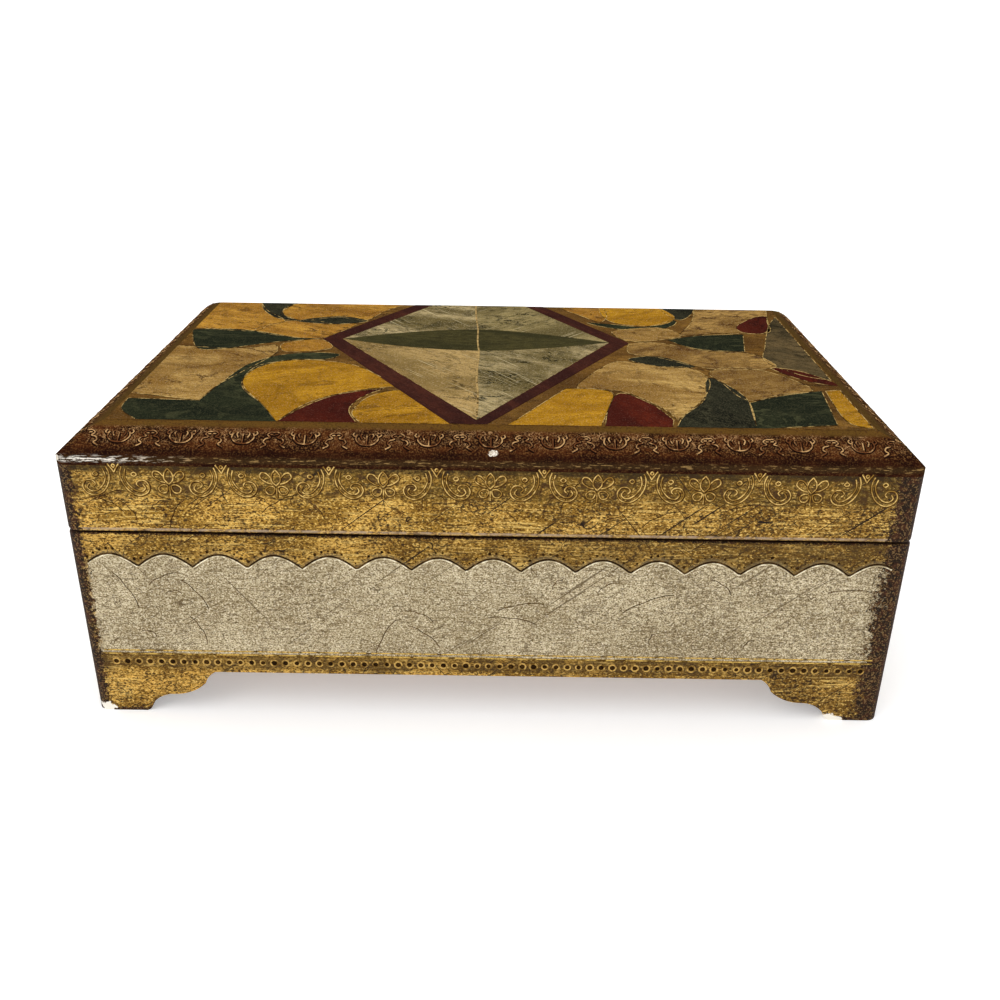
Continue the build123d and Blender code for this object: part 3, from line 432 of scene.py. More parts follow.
def silver_leaf(finish, dirt):
    """Mottled silver under a warm veil, with fine grain, level strokes and the leaf's dirt."""
    silver = finish.mix(finish.patches(17, 3, 0.36, 0.64, seed=22), silver_mid, silver_light)
    veil = finish.patches(3.2, 4, 0.46, 0.7, stretch=(0.6, 0.6, 1), seed=28)
    silver = finish.over(silver, srgb(140, 120, 84), veil, 0.3)
    fine = finish.noise(0.3, 1.0, stretch=(0.75, 0.75, 1), seed=21)
    grain = finish.rise(fine, 0.50, 0.64)
    silver = finish.over(silver, srgb(104, 86, 54), grain, 0.9)
    silver = finish.over(silver, silver_glint, finish.rise(fine, 0.44, 0.30), 0.8)
    level_lines = finish.patches(0.36, 2, 0.58, 0.64, stretch=(0.07, 0.07, 1), seed=24)
    silver = finish.over(silver, srgb(96, 78, 50), level_lines, 0.6)
    return finish.over(silver, srgb(74, 56, 32), dirt, 0.75), grain


def scallop_height(finish, along, on_end):
    """How high the scalloped line stands at a place along a side."""
    pitch = finish.between(on_end, scallop_pitch_front, scallop_pitch_side)
    run_front, run_side = scallops_front * scallop_pitch_front, scallops_side * scallop_pitch_side
    shift = finish.between(on_end, run_front / 2, run_side / 2)
    passed = finish.math("SUBTRACT", finish.math("ADD", along, shift), scallop_shift)
    wave = finish.math("DIVIDE", passed, pitch)
    arch = finish.math("ABSOLUTE", finish.math("SINE", finish.times(wave, math.pi)))
    return finish.scaled(arch, scallop_rise, scallop_valley)


def carcass_bands(finish, gold, above, upper_band):
    """The gold with a smoky upper band, a dirty low band, and pale dust by the scallops' cusps."""
    smoky = finish.patches(2.2, 5, 0.4, 0.62, stretch=(0.5, 0.5, 1), seed=26, rough=0.7)
    smoky = finish.times(finish.between(smoky, 0.3, 1.0), finish.between(old_end(finish), 0.3, 1.0))
    gold = finish.over(gold, srgb(70, 52, 24), upper_band, smoky, 0.85)
    low_band = finish.times(
        finish.rise(finish.z, band_low - 5.2, band_low - 3.8),
        finish.rise(finish.z, band_low + 0.6, band_low - 0.6),
    )
    band_dirt = finish.patches(3.4, 4, 0.42, 0.6, stretch=(0.5, 0.5, 1), seed=27, rough=0.65)
    gold = finish.over(gold, srgb(66, 48, 24), low_band, finish.between(band_dirt, 0.35, 0.8))
    near_cusp = finish.times(upper_band, finish.rise(above, 1.6, 0.0))
    return finish.over(gold, srgb(128, 114, 84), near_cusp, 0.45)


def carcass_finish():
    """Gold and silver leaf on the carcass, worn at its corners, feet and top edge."""
    finish = Finish("carcass_gold_and_silver")
    depth, corner, along, on_end = side_places(finish)
    gold, gold_dirt, gold_height = gold_leaf(finish)
    silver, grain = silver_leaf(finish, gold_dirt)
    scallop = scallop_height(finish, along, on_end)
    above = finish.math("SUBTRACT", finish.z, scallop)
    gold = carcass_bands(finish, gold, above, finish.math("GREATER_THAN", finish.z, scallop))
    below_scallop = finish.math("LESS_THAN", finish.z, scallop)
    field = finish.times(below_scallop, finish.math("GREATER_THAN", finish.z, band_low))
    ragged = finish.times(finish.noise(1.5, 3, seed=23), 3.0)
    inside = finish.rise(finish.math("ADD", corner, ragged), 4.0, 6.0)
    colour = finish.over(gold, silver, field, inside)
    shadow = finish.rise(finish.math("SUBTRACT", scallop, finish.z), 1.1, 0.0)
    colour = finish.over(colour, gold_shade, field, shadow, 0.5)
    low = finish.rise(finish.z, 2.0, 0.0)
    top = finish.rise(finish.z, carcass_top - 0.7, carcass_top)
    worn = finish.most(rubbed_corner(finish, corner), low, finish.times(top, 0.8))
    colour, bare = wear_to_bole(finish, colour, worn, 25)
    colour, within = bare_inside(finish, colour, depth, 29)
    chips = finish.most(
        finish.spot((-98.5, -63.5, 1.0), 2.2, (1, 1, 1.4), seed=31),
        finish.spot((88.0, -64.5, 0.6), 2.4, (0.6, 1, 1.6), seed=32),
        finish.spot((70.5, -64.5, 3.2), 1.1, (1, 1, 0.7), seed=33),
    )
    colour = finish.over(colour, gesso, chips)
    metal = finish.times(finish.math("SUBTRACT", 1.0, finish.most(bare, within, chips, gold_dirt)), 0.55)
    finish.relief(finish.math("SUBTRACT", gold_height, finish.times(grain, 0.2)), 0.5, 0.12)
    return finish.done(colour, finish.between(bare, 0.42, 0.62), metal, Specular_IOR_Level=0.08)


carcass_gilding = carcass_finish()
print("carcass gilding:", len(carcass_gilding.node_tree.nodes), "nodes")


# %% Lid sides: gold, with a darker patina under the shoulder
def lid_side_finish():
    """Gold leaf on the lid's sides, stippled and darker where the scrolls are stamped."""
    finish = Finish("lid_gold")
    depth, corner, *_ = side_places(finish)
    gold, dirt, height = gold_leaf(finish)
    band_place = finish.scaled(finish.noise(5, 3, seed=46), 3.0, finish.z)
    band = finish.rise(band_place, shoulder_foot - 8.8, shoulder_foot - 6.4)
    top_place = finish.scaled(finish.noise(4, 3, seed=43), 3.0, finish.z)
    top_band = finish.rise(top_place, shoulder_foot - 2.2, shoulder_foot - 0.4)
    stipple = finish.patches(0.8, 2, 0.42, 0.56, seed=41)
    green = finish.mix(finish.noise(6, 3, seed=42), srgb(64, 50, 20), srgb(96, 72, 26))
    patchy = finish.patches(12, 3, 0.34, 0.6, seed=44)
    uneven = finish.between(stipple, 0.25, 0.8)
    gold = finish.over(gold, green, band, uneven, finish.between(patchy, 0.45, 1.0))
    pits = finish.patches(2.6, 3, 0.53, 0.60, seed=47)
    in_band = finish.rise(finish.z, shoulder_foot - 9.3, shoulder_foot - 7.8)
    gold = finish.over(gold, srgb(60, 40, 22), pits, in_band, 0.75)
    gold = finish.over(gold, srgb(44, 34, 18), top_band, 0.75)
    low = finish.rise(finish.z, lid_bottom + 0.5, lid_bottom)
    rim = finish.rise(finish.z, shoulder_foot - 1.0, shoulder_foot)
    pale_rub = finish.between(finish.patches(3, 4, 0.36, 0.6, seed=48), 0.15, 0.85)
    gold = finish.over(gold, srgb(158, 138, 116), finish.line(finish.z, lid_bottom + 0.75, 0.45), pale_rub)
    worn = finish.most(rubbed_corner(finish, corner), finish.times(low, 0.7), finish.times(rim, 0.7))
    colour, bare = wear_to_bole(finish, gold, worn, 45)
    colour, within = bare_inside(finish, colour, depth, 49)
    metal = finish.times(finish.math("SUBTRACT", 1.0, finish.most(bare, within, dirt)), 0.55)
    finish.relief(finish.math("SUBTRACT", height, finish.times(stipple, band, 0.3)), 0.5, 0.14)
    return finish.done(colour, finish.between(bare, 0.40, 0.6), metal, Specular_IOR_Level=0.08)


lid_gilding = lid_side_finish()
print("lid gilding:", len(lid_gilding.node_tree.nodes), "nodes")


# %% Shoulder: bole rubbed through the leaf
def shoulder_finish():
    """Dark bole with flecks and curls of gold, greener at the ends, chipped along the rim."""
    finish = Finish("shoulder_bole")
    depth, *_, on_end = side_places(finish)
    streaky = finish.patches(2.6, 4, 0.40, 0.60, stretch=(0.35, 0.35, 1.6), seed=61, rough=0.62)
    warm = finish.mix(streaky, srgb(72, 38, 18), srgb(34, 16, 10))
    fine = finish.noise(0.32, 1.0, stretch=(0.75, 0.75, 1), seed=62)
    flecks = finish.rise(fine, 0.50, 0.66)
    colour = finish.over(warm, srgb(128, 90, 50), flecks, 0.6)
    colour = finish.over(colour, srgb(22, 10, 7), finish.rise(fine, 0.42, 0.3), 0.7)
    crowd = finish.patches(4.5, 3, 0.40, 0.60, seed=69)
    curls = finish.line(finish.noise(1.5, 1.5, seed=68, bend=1.6), 0.5, 0.035)
    stamped = finish.times(finish.rise(depth, 2.6, 4.0), finish.rise(depth, 8.6, 7.2))
    colour = finish.over(colour, srgb(172, 132, 88), curls, crowd, stamped, 0.75)
    inner_tint = finish.mix(flecks, srgb(104, 76, 32), srgb(62, 42, 18))
    colour = finish.over(colour, inner_tint, finish.rise(depth, 7.0, 8.4), 0.75)
    lower = finish.rise(finish.scaled(finish.noise(1.2, 3, seed=63), 1.6, depth), 3.8, 2.0)
    colour = finish.over(colour, srgb(30, 13, 9), lower, 0.7)
    end_tint = finish.mix(flecks, srgb(66, 54, 30), srgb(36, 28, 16))
    colour = finish.over(colour, end_tint, on_end, 0.5)
    at_rim = finish.rise(finish.math("ABSOLUTE", finish.math("SUBTRACT", finish.z, shoulder_foot)), 1.1, 0.1)
    corner_near = finish.rise(finish.vector("DISTANCE", finish.place, (-100, -63, shoulder_foot)), 34, 4)
    streaks = finish.noise(0.36, 3, stretch=(0.14, 0.14, 1), seed=64, rough=0.65)
    streaks = finish.scaled(finish.scaled(corner_near, 2.0, at_rim), 0.04, streaks)
    colour = finish.over(colour, srgb(60, 46, 26), at_rim, 0.5)
    pale = finish.mix(corner_near, srgb(136, 108, 66), gesso)
    colour = finish.over(colour, pale, finish.rise(streaks, 0.59, 0.66), at_rim)
    chips = finish.most(
        finish.spot((0.6, -62.4, shoulder_foot + 2.0), 0.85, (0.8, 1, 1), 0.9, 65),
        finish.spot((-101, -64, shoulder_foot), 1.0, seed=66),
    )
    crackle = finish.patches(0.3, 2, 0.44, 0.6, seed=70)
    colour = finish.over(colour, finish.mix(crackle, gesso, srgb(170, 152, 130)), chips)
    finish.relief(finish.math("ADD", finish.noise(0.8, 4, seed=67), finish.times(flecks, 0.5)), 0.55, 0.18)
    return finish.done(colour, 0.5, Specular_IOR_Level=0.0)


shoulder_gilding = shoulder_finish()
print("shoulder gilding:", len(shoulder_gilding.node_tree.nodes), "nodes")


# %% Gild the boards
def dress(material, *names):
    """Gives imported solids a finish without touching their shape."""
    for name in names:
        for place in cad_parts[name].material_slots:
            place.material = material


dress(carcass_gilding, "front_board", "back_board", "left_board", "right_board")
dress(lid_gilding, "lid_front_rim", "lid_back_rim", "lid_left_rim", "lid_right_rim")
dress(shoulder_gilding, "lid_top_board")
print("gilded: four boards, four rims and the lid's top board")

# %% [markdown]
# ## Bare wood, metals, clear cover and velvet
# What the photograph doesn't show is finished as such boxes are inside: plain poplar under the
# gilding, cotton velvet on cards, a brass and steel movement on a cast bed, and a clear cover.


# %% Wood, metal and cover
def wood_finish():
    """Plain poplar, its grain along the box."""
    finish = Finish("poplar_wood")
    grain_place = finish.vector("MULTIPLY", finish.place, (0.05, 1.0, 1.0))
    grain = finish.noise(0.5, 4, place=grain_place, seed=71, bend=0.3)
    rings = finish.noise(7, 3, place=grain_place, seed=72)
    colour = finish.mix(rings, srgb(176, 136, 92), srgb(150, 108, 66))
    colour = finish.over(colour, srgb(122, 86, 52), finish.rise(grain, 0.48, 0.72))
    finish.relief(grain, 0.3, 0.1)
    return finish.done(colour, 0.6)


def metal_finish(name, light, dark, roughness, brushed=(1, 1, 1), tarnish=0.35):
    """Brushed metal with a few darker stains."""
    finish = Finish(name)
    lines = finish.noise(0.35, 2, stretch=brushed, seed=81)
    stain = finish.patches(4.5, 4, 0.45, 0.7, seed=82)
    colour = finish.over(finish.mix(lines, light, dark), dark, stain, tarnish)
    finish.relief(lines, 0.12, 0.03)
    return finish.done(colour, finish.between(stain, roughness, roughness + 0.12), 1.0)


def cover_finish():
    """Clear sheet with a faint haze."""
    finish = Finish("clear_cover")
    roughness = finish.between(finish.patches(9, 4, 0.5, 0.75, seed=91), 0.03, 0.09)
    return finish.done((0.97, 0.98, 0.98, 1), roughness, Transmission_Weight=1.0, IOR=1.49)


poplar = wood_finish()
brass = metal_finish("lacquered_brass", srgb(228, 196, 122), srgb(184, 146, 78), 0.24, (1, 0.15, 1))
steel = metal_finish("polished_steel", srgb(206, 206, 204), srgb(140, 140, 142), 0.24, (1, 0.2, 1))
cast_metal = metal_finish("cast_zinc_bed", srgb(168, 168, 166), srgb(112, 112, 112), 0.46, tarnish=0.6)
clear_sheet = cover_finish()
print("bare materials:", [one.name for one in (poplar, brass, steel, cast_metal, clear_sheet)])


# %% Velvet
def velvet_finish(name, deep, high):
    """Short pile, lighter on its tips, brushed one way and the other."""
    finish = Finish(name)
    nap = finish.noise(0.28, 2, seed=101)
    colour = finish.mix(finish.rise(nap, 0.35, 0.7), deep, high)
    colour = finish.over(colour, deep, finish.patches(9, 3, 0.45, 0.65, seed=102, bend=0.5), 0.35)
    finish.relief(nap, 0.6, 0.12)
    return finish.done(colour, 0.95, Sheen_Weight=0.8, Sheen_Roughness=0.35, Sheen_Tint=srgb(214, 120, 120))


velvet = velvet_finish("wine_red_velvet", srgb(84, 10, 20), srgb(132, 22, 36))
dress(poplar, "bottom_board", "long_partition", "cross_partition", "cover_ledges")
dress(velvet, "large_well_lining", "small_well_lining", "lid_lining_frame")
dress(clear_sheet, "movement_cover")
for part in ("hinge_lower_leaf", "hinge_upper_leaf", "hinge_pin", "bearing_post"):
    dress(brass, "left_" + part, "right_" + part)
dress(
    brass, "lower_hinge_screws", "upper_hinge_screws", "spring_barrel", "barrel_cap", "cylinder_drum",
    "cylinder_gear", "governor_frame", "worm_wheel", "fly_blades",
)
dress(
    steel, "bedplate_screws", "mainspring", "winding_arbor", "winding_key", "cylinder_arbor",
    "cylinder_pinion", "bearing_post_screws", "comb", "comb_screws", "governor_screws", "governor_arbor",
    "fly_worm", "stop_lever", "stop_lever_screw",
)
dress(cast_metal, "bedplate", "comb_heel")
print("inside finishes given")


# %% [markdown]
# ## Padded velvet
# Each pad is wadding on a card, with velvet drawn over it and turned under. A cloth simulation could
# blow it up, but the pad is thinner than the mesh that such a run needs. So each pad is a grid whose
# points are lifted by a formula: nearly level in the middle, round at the sides, a little uneven on
# top, and puckered where the velvet is drawn in.


# %% Pads of the wells and the lid
def pad_point(u, v, low, high, waves):
    """Where a point of the crowned face lies, and how high; u and v run from -1 to 1."""
    bulge = (1 - abs(u) ** 3.4) * (1 - abs(v) ** 3.4)
    swell = sum(math.sin(a * u * 3 + b * v * 3 + c) for a, b, c in waves) / 5
    pucker = abs(v) ** 5 * math.sin(38 * u + 1) + abs(u) ** 5 * math.sin(27 * v)
    lift = (high[2] - low[2]) * bulge ** 0.5 * (0.90 + 0.06 * swell + 0.035 * pucker)
    pull = 0.35 * (1 - bulge) * abs(math.sin(math.pi * (u + v)))
    x = (low[0] + high[0]) / 2 + (high[0] - low[0] - pull) / 2 * u
    y = (low[1] + high[1]) / 2 + (high[1] - low[1] - pull) / 2 * v
    return x, y, lift


def velvet_pad(node, upward, body):
    """A crowned pad in its CAD solid's space: flat on its card, sides rounded, top a little uneven."""
    low, high = box_mm(node)
    columns, rows = 64, 44
    flat, sign = (low[2], 1) if upward else (high[2], -1)
    draw = random.Random(len(node))
    waves = [(draw.uniform(1, 4), draw.uniform(1, 4), draw.uniform(0, 6.3)) for _ in range(5)]
    verts, faces = [], []
    for row in range(rows + 1):
        for column in range(columns + 1):
            u, v = -math.cos(math.pi * column / columns), -math.cos(math.pi * row / rows)
            x, y, lift = pad_point(u, v, low, high, waves)
            verts.append((x, y, flat + sign * lift))
    width = columns + 1
    for row in range(rows):
        for column in range(columns):
            first = row * width + column
            faces.append((first, first + 1, first + width + 1, first + width))
    outline = list(range(width))
    outline += [row * width + columns for row in range(1, rows + 1)]
    outline += [rows * width + column for column in range(columns - 1, -1, -1)]
    outline += [row * width for row in range(rows - 1, 0, -1)]
    faces.append(tuple(reversed(outline)))
    if not upward:
        faces = [tuple(reversed(face)) for face in faces]
    pad = piece_from(node + "_velvet", verts, faces, velvet)
    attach(pad, body)
    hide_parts(node)
    return pad


for node, upward, body in (
    ("large_well_pad", True, "carcass"),
    ("small_well_pad", True, "carcass"),
    ("lid_pad", False, "lid"),
):
    pad = velvet_pad(node, upward, body)
    print(pad.name, len(pad.data.polygons), "faces")

# %% [markdown]
# ## Tooled and punched borders
# The gilder presses scrolls, scallops and dots into the soft gesso. They repeat at an even spacing
# along each side, which is what Geometry Nodes are good at. One tree draws a bead along a straight
# or scalloped run, and a second sets a small motif at each step of such a run. Every border is one
# of these two trees with its own numbers and motif.


# %% Geometry Nodes: helpers that start, end and run a tree
def new_tree(name, sockets):
    """An empty geometry tree, and the outputs that give its named inputs."""
    tree = bpy.data.node_groups.new(name, "GeometryNodeTree")
    tree.interface.new_socket("Geometry", in_out="OUTPUT", socket_type="NodeSocketGeometry")
    for label, kind in sockets.items():
        tree.interface.new_socket(label, in_out="INPUT", socket_type="NodeSocket" + kind)
    return tree, tree.nodes.new("NodeGroupInput").outputs


def end_tree(tree, given, geometry):
    """Realize Instances, then Set Material, as the export needs."""
    real = add_node(tree, "GeometryNodeRealizeInstances", {0: geometry})
    painted = {"Geometry": real.outputs[0], "Material": given["Material"]}
    paint = add_node(tree, "GeometryNodeSetMaterial", painted)
    add_node(tree, "NodeGroupOutput", {0: paint.outputs[0]})
    print(tree.name, len(tree.nodes), "nodes")


def run_tree(tree, name, values, body):
    """Evaluates the tree with these inputs, and keeps the result as a plain piece on one body."""
    carrier = add_object(name, bpy.data.meshes.new(name))
    modifier = carrier.modifiers.new("run", "NODES")
    modifier.node_group = tree
    for item in tree.interface.items_tree:
        if item.in_out == "INPUT" and item.name in values:
            modifier[item.identifier] = values[item.name]
    depsgraph = bpy.context.evaluated_depsgraph_get()
    mesh = bpy.data.meshes.new_from_object(carrier.evaluated_get(depsgraph))
    carrier.modifiers.remove(modifier)
    carrier.data = mesh
    mesh.name = name
    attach(carrier, body)
    return carrier


def joined(name, parts, body):
    """Several runs as one piece."""
    mesh = bpy.data.meshes.new(name)
    builder = bmesh.new()
    for part in parts:
        builder.from_mesh(part.data)
    builder.to_mesh(mesh)
    builder.free()
    for material in parts[0].data.materials:
        mesh.materials.append(material)
    made = add_object(name, mesh)
    for part in parts:
        bpy.data.objects.remove(part)
    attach(made, body)
    print(name, len(mesh.polygons), "faces")


# %% Tree for a drawn line: a thin bead along a straight or scalloped run
def waved_run(tree, given):
    """A line from Start to End, resampled, that rises by Rise between Cusps."""
    run = add_node(tree, "GeometryNodeCurvePrimitiveLine", {"Start": given["Start"], "End": given["End"]})
    steps = add_node(tree, "GeometryNodeResampleCurve", {"Curve": run.outputs[0], "Count": given["Points"]})
    share = add_node(tree, "GeometryNodeSplineParameter").outputs["Factor"]
    passed = node_math(tree, "ADD", node_math(tree, "MULTIPLY", share, given["Cusps"]), given["First"])
    arch = node_math(tree, "ABSOLUTE", node_math(tree, "SINE", node_math(tree, "MULTIPLY", passed, math.pi)))
    upward = add_node(tree, "ShaderNodeCombineXYZ", {"Z": node_math(tree, "MULTIPLY", arch, given["Rise"])})
    moved = {"Geometry": steps.outputs[0], "Offset": upward.outputs[0]}
    return add_node(tree, "GeometryNodeSetPosition", moved).outputs[0]


line_tree, given = new_tree("bead_line", {
    "Start": "Vector", "End": "Vector", "Cusps": "Float", "First": "Float", "Rise": "Float",
    "Points": "Int", "Bead radius": "Float", "Material": "Material",
})
bead = add_node(line_tree, "GeometryNodeCurvePrimitiveCircle", {
    "Resolution": 6, "Radius": given["Bead radius"],
})
sweep = add_node(line_tree, "GeometryNodeCurveToMesh", {
    "Curve": waved_run(line_tree, given), "Profile Curve": bead.outputs[0], "Fill Caps": True,
})
end_tree(line_tree, given, sweep.outputs[0])

# %% Tree for punches: a motif at each step of the run
punch_tree, given = new_tree("punched_run", {
    "Start": "Vector", "End": "Vector", "Cusps": "Float", "First": "Float", "Rise": "Float",
    "Points": "Int", "Motif": "Object", "Turn": "Vector", "Least size": "Float", "Seed": "Int",
    "Material": "Material",
})
motif = add_node(punch_tree, "GeometryNodeObjectInfo", {"Object": given["Motif"]})
uneven = add_node(punch_tree, "FunctionNodeRandomValue", {
    2: given["Least size"], 3: 1.0, "Seed": given["Seed"],
})
punches = add_node(punch_tree, "GeometryNodeInstanceOnPoints", {
    "Points": waved_run(punch_tree, given), "Instance": motif.outputs["Geometry"],
    "Rotation": given["Turn"], "Scale": uneven.outputs[1],
})
end_tree(punch_tree, given, punches.outputs[0])

# %% [markdown]
# ## The four sides
# Each border runs along the front, the right end, the back and the left end. A side is described by
# how far round the box it lies, how far it reaches and how far out it stands; the start and the end
# of every run follow from that.

# %% The sides of the box
long_side = (half_width, half_depth, scallops_front, scallop_pitch_front)
end_side = (half_depth, half_width, scallops_side, scallop_pitch_side)
sides = {
    "front": (0.0, *long_side), "right": (90.0, *end_side),
    "back": (180.0, *long_side), "left": (270.0, *end_side),
}


def on_side(side, along, out, height):
    """A point in metres: along the side from its middle, out from the box's centre, and up."""
    angle = math.radians(sides[side][0])
    x = along * math.cos(angle) + out * math.sin(angle)
    y = along * math.sin(angle) - out * math.cos(angle)
    return (x * MM, y * MM, height * MM)


def run_along(tree, side, name, reach, out, height, body, values):
    """One run of a tree, from -reach to +reach along a side."""
    inputs = {
        "Start": on_side(side, -reach, out, height), "End": on_side(side, reach, out, height),
        "Cusps": 0.0, "First": 0.0, "Rise": 0.0, "Turn": (0.0, 0.0, math.radians(sides[side][0])),
        "Least size": 1.0, "Seed": 1, **values,
    }
    return run_tree(tree, name + "_" + side, inputs, body)


# %% Finishes of the tooled lines
def tooled_finish(name, light, dark, share):
    """Gilding on a raised line, rubbed to the darker tone in places."""
    finish = Finish(name)
    rub = finish.patches(2.2, 4, share - 0.08, share + 0.08, seed=111)
    fleck = finish.patches(0.6, 2, 0.5, 0.62, seed=112)
    colour = finish.over(finish.mix(rub, dark, light), dark, fleck, 0.5)
    finish.relief(fleck, 0.3, 0.05)
    return finish.done(colour, 0.38, Specular_IOR_Level=0.0)


scored_line = tooled_finish("scored_scallop_line", srgb(88, 66, 36), srgb(44, 30, 16), 0.56)
raised_light = tooled_finish("scallop_highlight", srgb(240, 230, 200), srgb(168, 152, 118), 0.50)
gilt_line = tooled_finish("gilt_double_line", srgb(206, 170, 88), srgb(72, 50, 20), 0.46)
punched_gold = tooled_finish("punched_gold", srgb(204, 166, 92), srgb(104, 76, 34), 0.47)
punched_dark = tooled_finish("punched_hollow", srgb(62, 42, 18), srgb(34, 22, 10), 0.5)


# %% Shapes of the punches
def dome(radius, height):
    """A low dome on the side facing -Y, with few faces."""
    verts = [(0, -height, 0)]
    for ring_radius, ring_out in ((0.6, 0.75), (1.0, 0.0)):
        for step in range(8):
            angle = math.pi * step / 4
            reach = radius * ring_radius
            verts.append((reach * math.cos(angle), -height * ring_out, reach * math.sin(angle)))
    faces = [(0, 1 + step, 1 + (step + 1) % 8) for step in range(8)]
    faces += [(1 + step, 9 + step, 9 + (step + 1) % 8, 1 + (step + 1) % 8) for step in range(8)]
    faces.append(tuple(9 + step for step in reversed(range(8))))
    return verts, [tuple(reversed(face)) for face in faces]


def ring_mesh(radius, bead, around=12, across=4):
    """A small ring that lies on the side facing -Y."""
    verts, faces = [], []
    for step in range(around):
        angle = 2 * math.pi * step / around
        ahead = ((step + 1) % around) * across
        for turn_step in range(across):
            tilt = 2 * math.pi * turn_step / across
            reach = radius + bead * math.cos(tilt)
            verts.append((reach * math.cos(angle), -bead * math.sin(tilt), reach * math.sin(angle)))
            here, beside = step * across + turn_step, step * across + (turn_step + 1) % across
            faces.append((here, beside, ahead + (turn_step + 1) % across, ahead + turn_step))
    return verts, faces


dot_motif = piece_from("dot_motif", *dome(0.42, 0.2), punched_gold)
ring_motif = piece_from("ring_motif", *ring_mesh(0.95, 0.24), punched_gold)
hollow_motif = piece_from("hollow_motif", *dome(0.75, 0.1), punched_gold)

# %% Scallops, double line and their dots on the carcass
line_sink, ring_pitch = 0.08, 2.8
ring_height = band_low - 2.6
scallop_end, double_end, ring_end = 4.2, 4.5, 7
borders = {}
for side, (angle, reach, out, cusps, pitch) in sides.items():
    scallop_reach, double_reach, ring_reach = reach - scallop_end, reach - double_end, reach - ring_end
    hand = 1 if angle < 180 else -1
    run = 2 * scallop_reach / pitch
    first = (cusps - run) / 2 - hand * scallop_shift / pitch
    wave = {"Cusps": run, "First": first, "Rise": scallop_rise * MM}
    waved, straight = {**wave, "Points": cusps * 20 + 1}, {"Points": 2}
    for name, half_run, height, radius, finish, values in (
        ("scallop_border", scallop_reach, scallop_valley, 0.27, scored_line, waved),
        ("scallop_highlights", scallop_reach, scallop_valley - 0.4, 0.22, raised_light, waved),
        ("double_line_border", double_reach, band_low - 0.3, 0.2, gilt_line, straight),
        ("double_line_border", double_reach, band_low + 0.75, 0.2, gilt_line, straight),
    ):
        borders.setdefault(name, []).append(run_along(
            line_tree, side, name, half_run, out - line_sink, height, "carcass",
            {**values, "Bead radius": radius * MM, "Material": finish},
        ))
    above_scallops = {**wave, "Points": cusps * 8 + 1, "Least size": 0.35, "Seed": 3}
    in_a_row = {"Points": int(ring_reach * 2 / ring_pitch), "Least size": 0.75, "Seed": 5}
    for name, used, half_run, height, finish, values in (
        ("punched_dots", dot_motif, scallop_reach, scallop_valley + 1.4, punched_dark, above_scallops),
        ("punched_rings", ring_motif, ring_reach, ring_height, punched_gold, in_a_row),
        ("punched_dots", hollow_motif, ring_reach, ring_height, punched_dark, in_a_row),
    ):
        borders.setdefault(name, []).append(run_along(
            punch_tree, side, used.name, half_run, out, height, "carcass",
            {**values, "Motif": used, "Material": finish},
        ))
for name, parts in borders.items():
    joined(name, parts, "carcass")
for used in (dot_motif, ring_motif, hollow_motif):
    bpy.data.objects.remove(used)

# %% [markdown]
# ## Scrolls on the lid
# The gilder's tool draws each scroll as a fine raised double line: two C-scrolls back to back, with a
# point and a dot between their tops, and a three-lobed flower before the next pair. A stroke is a
# smooth path through a few points, swept with a low rounded section. The strokes of one motif are a
# single small mesh, which the punch tree then repeats. On the shoulder the same strokes are bent
# over its curve before they are repeated. Each motif is made twice: the light raised line, and a
# wider, lower dark copy a little right of and below it, which is painted shadow for the relief.


# %% Strokes
def smooth_path(points, steps=4, closed=False):
    """A smooth line through the points; a point given twice is a sharp corner."""
    total = len(points)
    path = []
    for index in range(total if closed else total - 1):
        picks = [index + offset for offset in (-1, 0, 1, 2)]
        if not closed:
            picks = [max(0, min(total - 1, pick)) for pick in picks]
        before, start, end, after = (points[pick % total] for pick in picks)
        if start == end:
            continue
        for step in range(steps):
            share = step / steps
            weights = (
                -0.5 * share ** 3 + share ** 2 - 0.5 * share,
                1.5 * share ** 3 - 2.5 * share ** 2 + 1,
                -1.5 * share ** 3 + 2 * share ** 2 + 0.5 * share,
                0.5 * share ** 3 - 0.5 * share ** 2,
            )
            path.append(tuple(
                sum(weight * point[axis] for weight, point in zip(weights, (before, start, end, after)))
                for axis in (0, 1)
            ))
    return path if closed else path + [points[-1]]


def stroke(path, radius, lay_out, closed=False, edges=5, flat=0.6):
    """A bead along a path; lay_out turns (along, up, out) into a point in millimetres."""
    verts, faces = [], []
    total = len(path)
    for index, (u, v) in enumerate(path):
        behind = path[(index - 1) % total] if closed or index else path[0]
        ahead = path[(index + 1) % total] if closed or index < total - 1 else path[-1]
        run = Vector((ahead[0] - behind[0], ahead[1] - behind[1])).normalized()
        for edge in range(edges):
            tilt = 2 * math.pi * (edge + 0.5) / edges
            across = radius * math.cos(tilt)
            verts.append(lay_out(u - run.y * across, v + run.x * across, radius * flat * math.sin(tilt)))
    for index in range(total if closed else total - 1):
        here, ahead = index * edges, (index + 1) % total * edges
        for edge in range(edges):
            beside = (edge + 1) % edges
            faces.append((here + edge, here + beside, ahead + beside, ahead + edge))
    if not closed:
        faces.append(tuple(reversed(range(edges))))
        faces.append(tuple((total - 1) * edges + edge for edge in range(edges)))
    return verts, faces


def outward(thing):
    """Turns the faces of a piece's closed shells outwards."""
    builder = bmesh.new()
    builder.from_mesh(thing.data)
    bmesh.ops.recalc_face_normals(builder, faces=builder.faces)
    builder.to_mesh(thing.data)
    builder.free()
    return thing


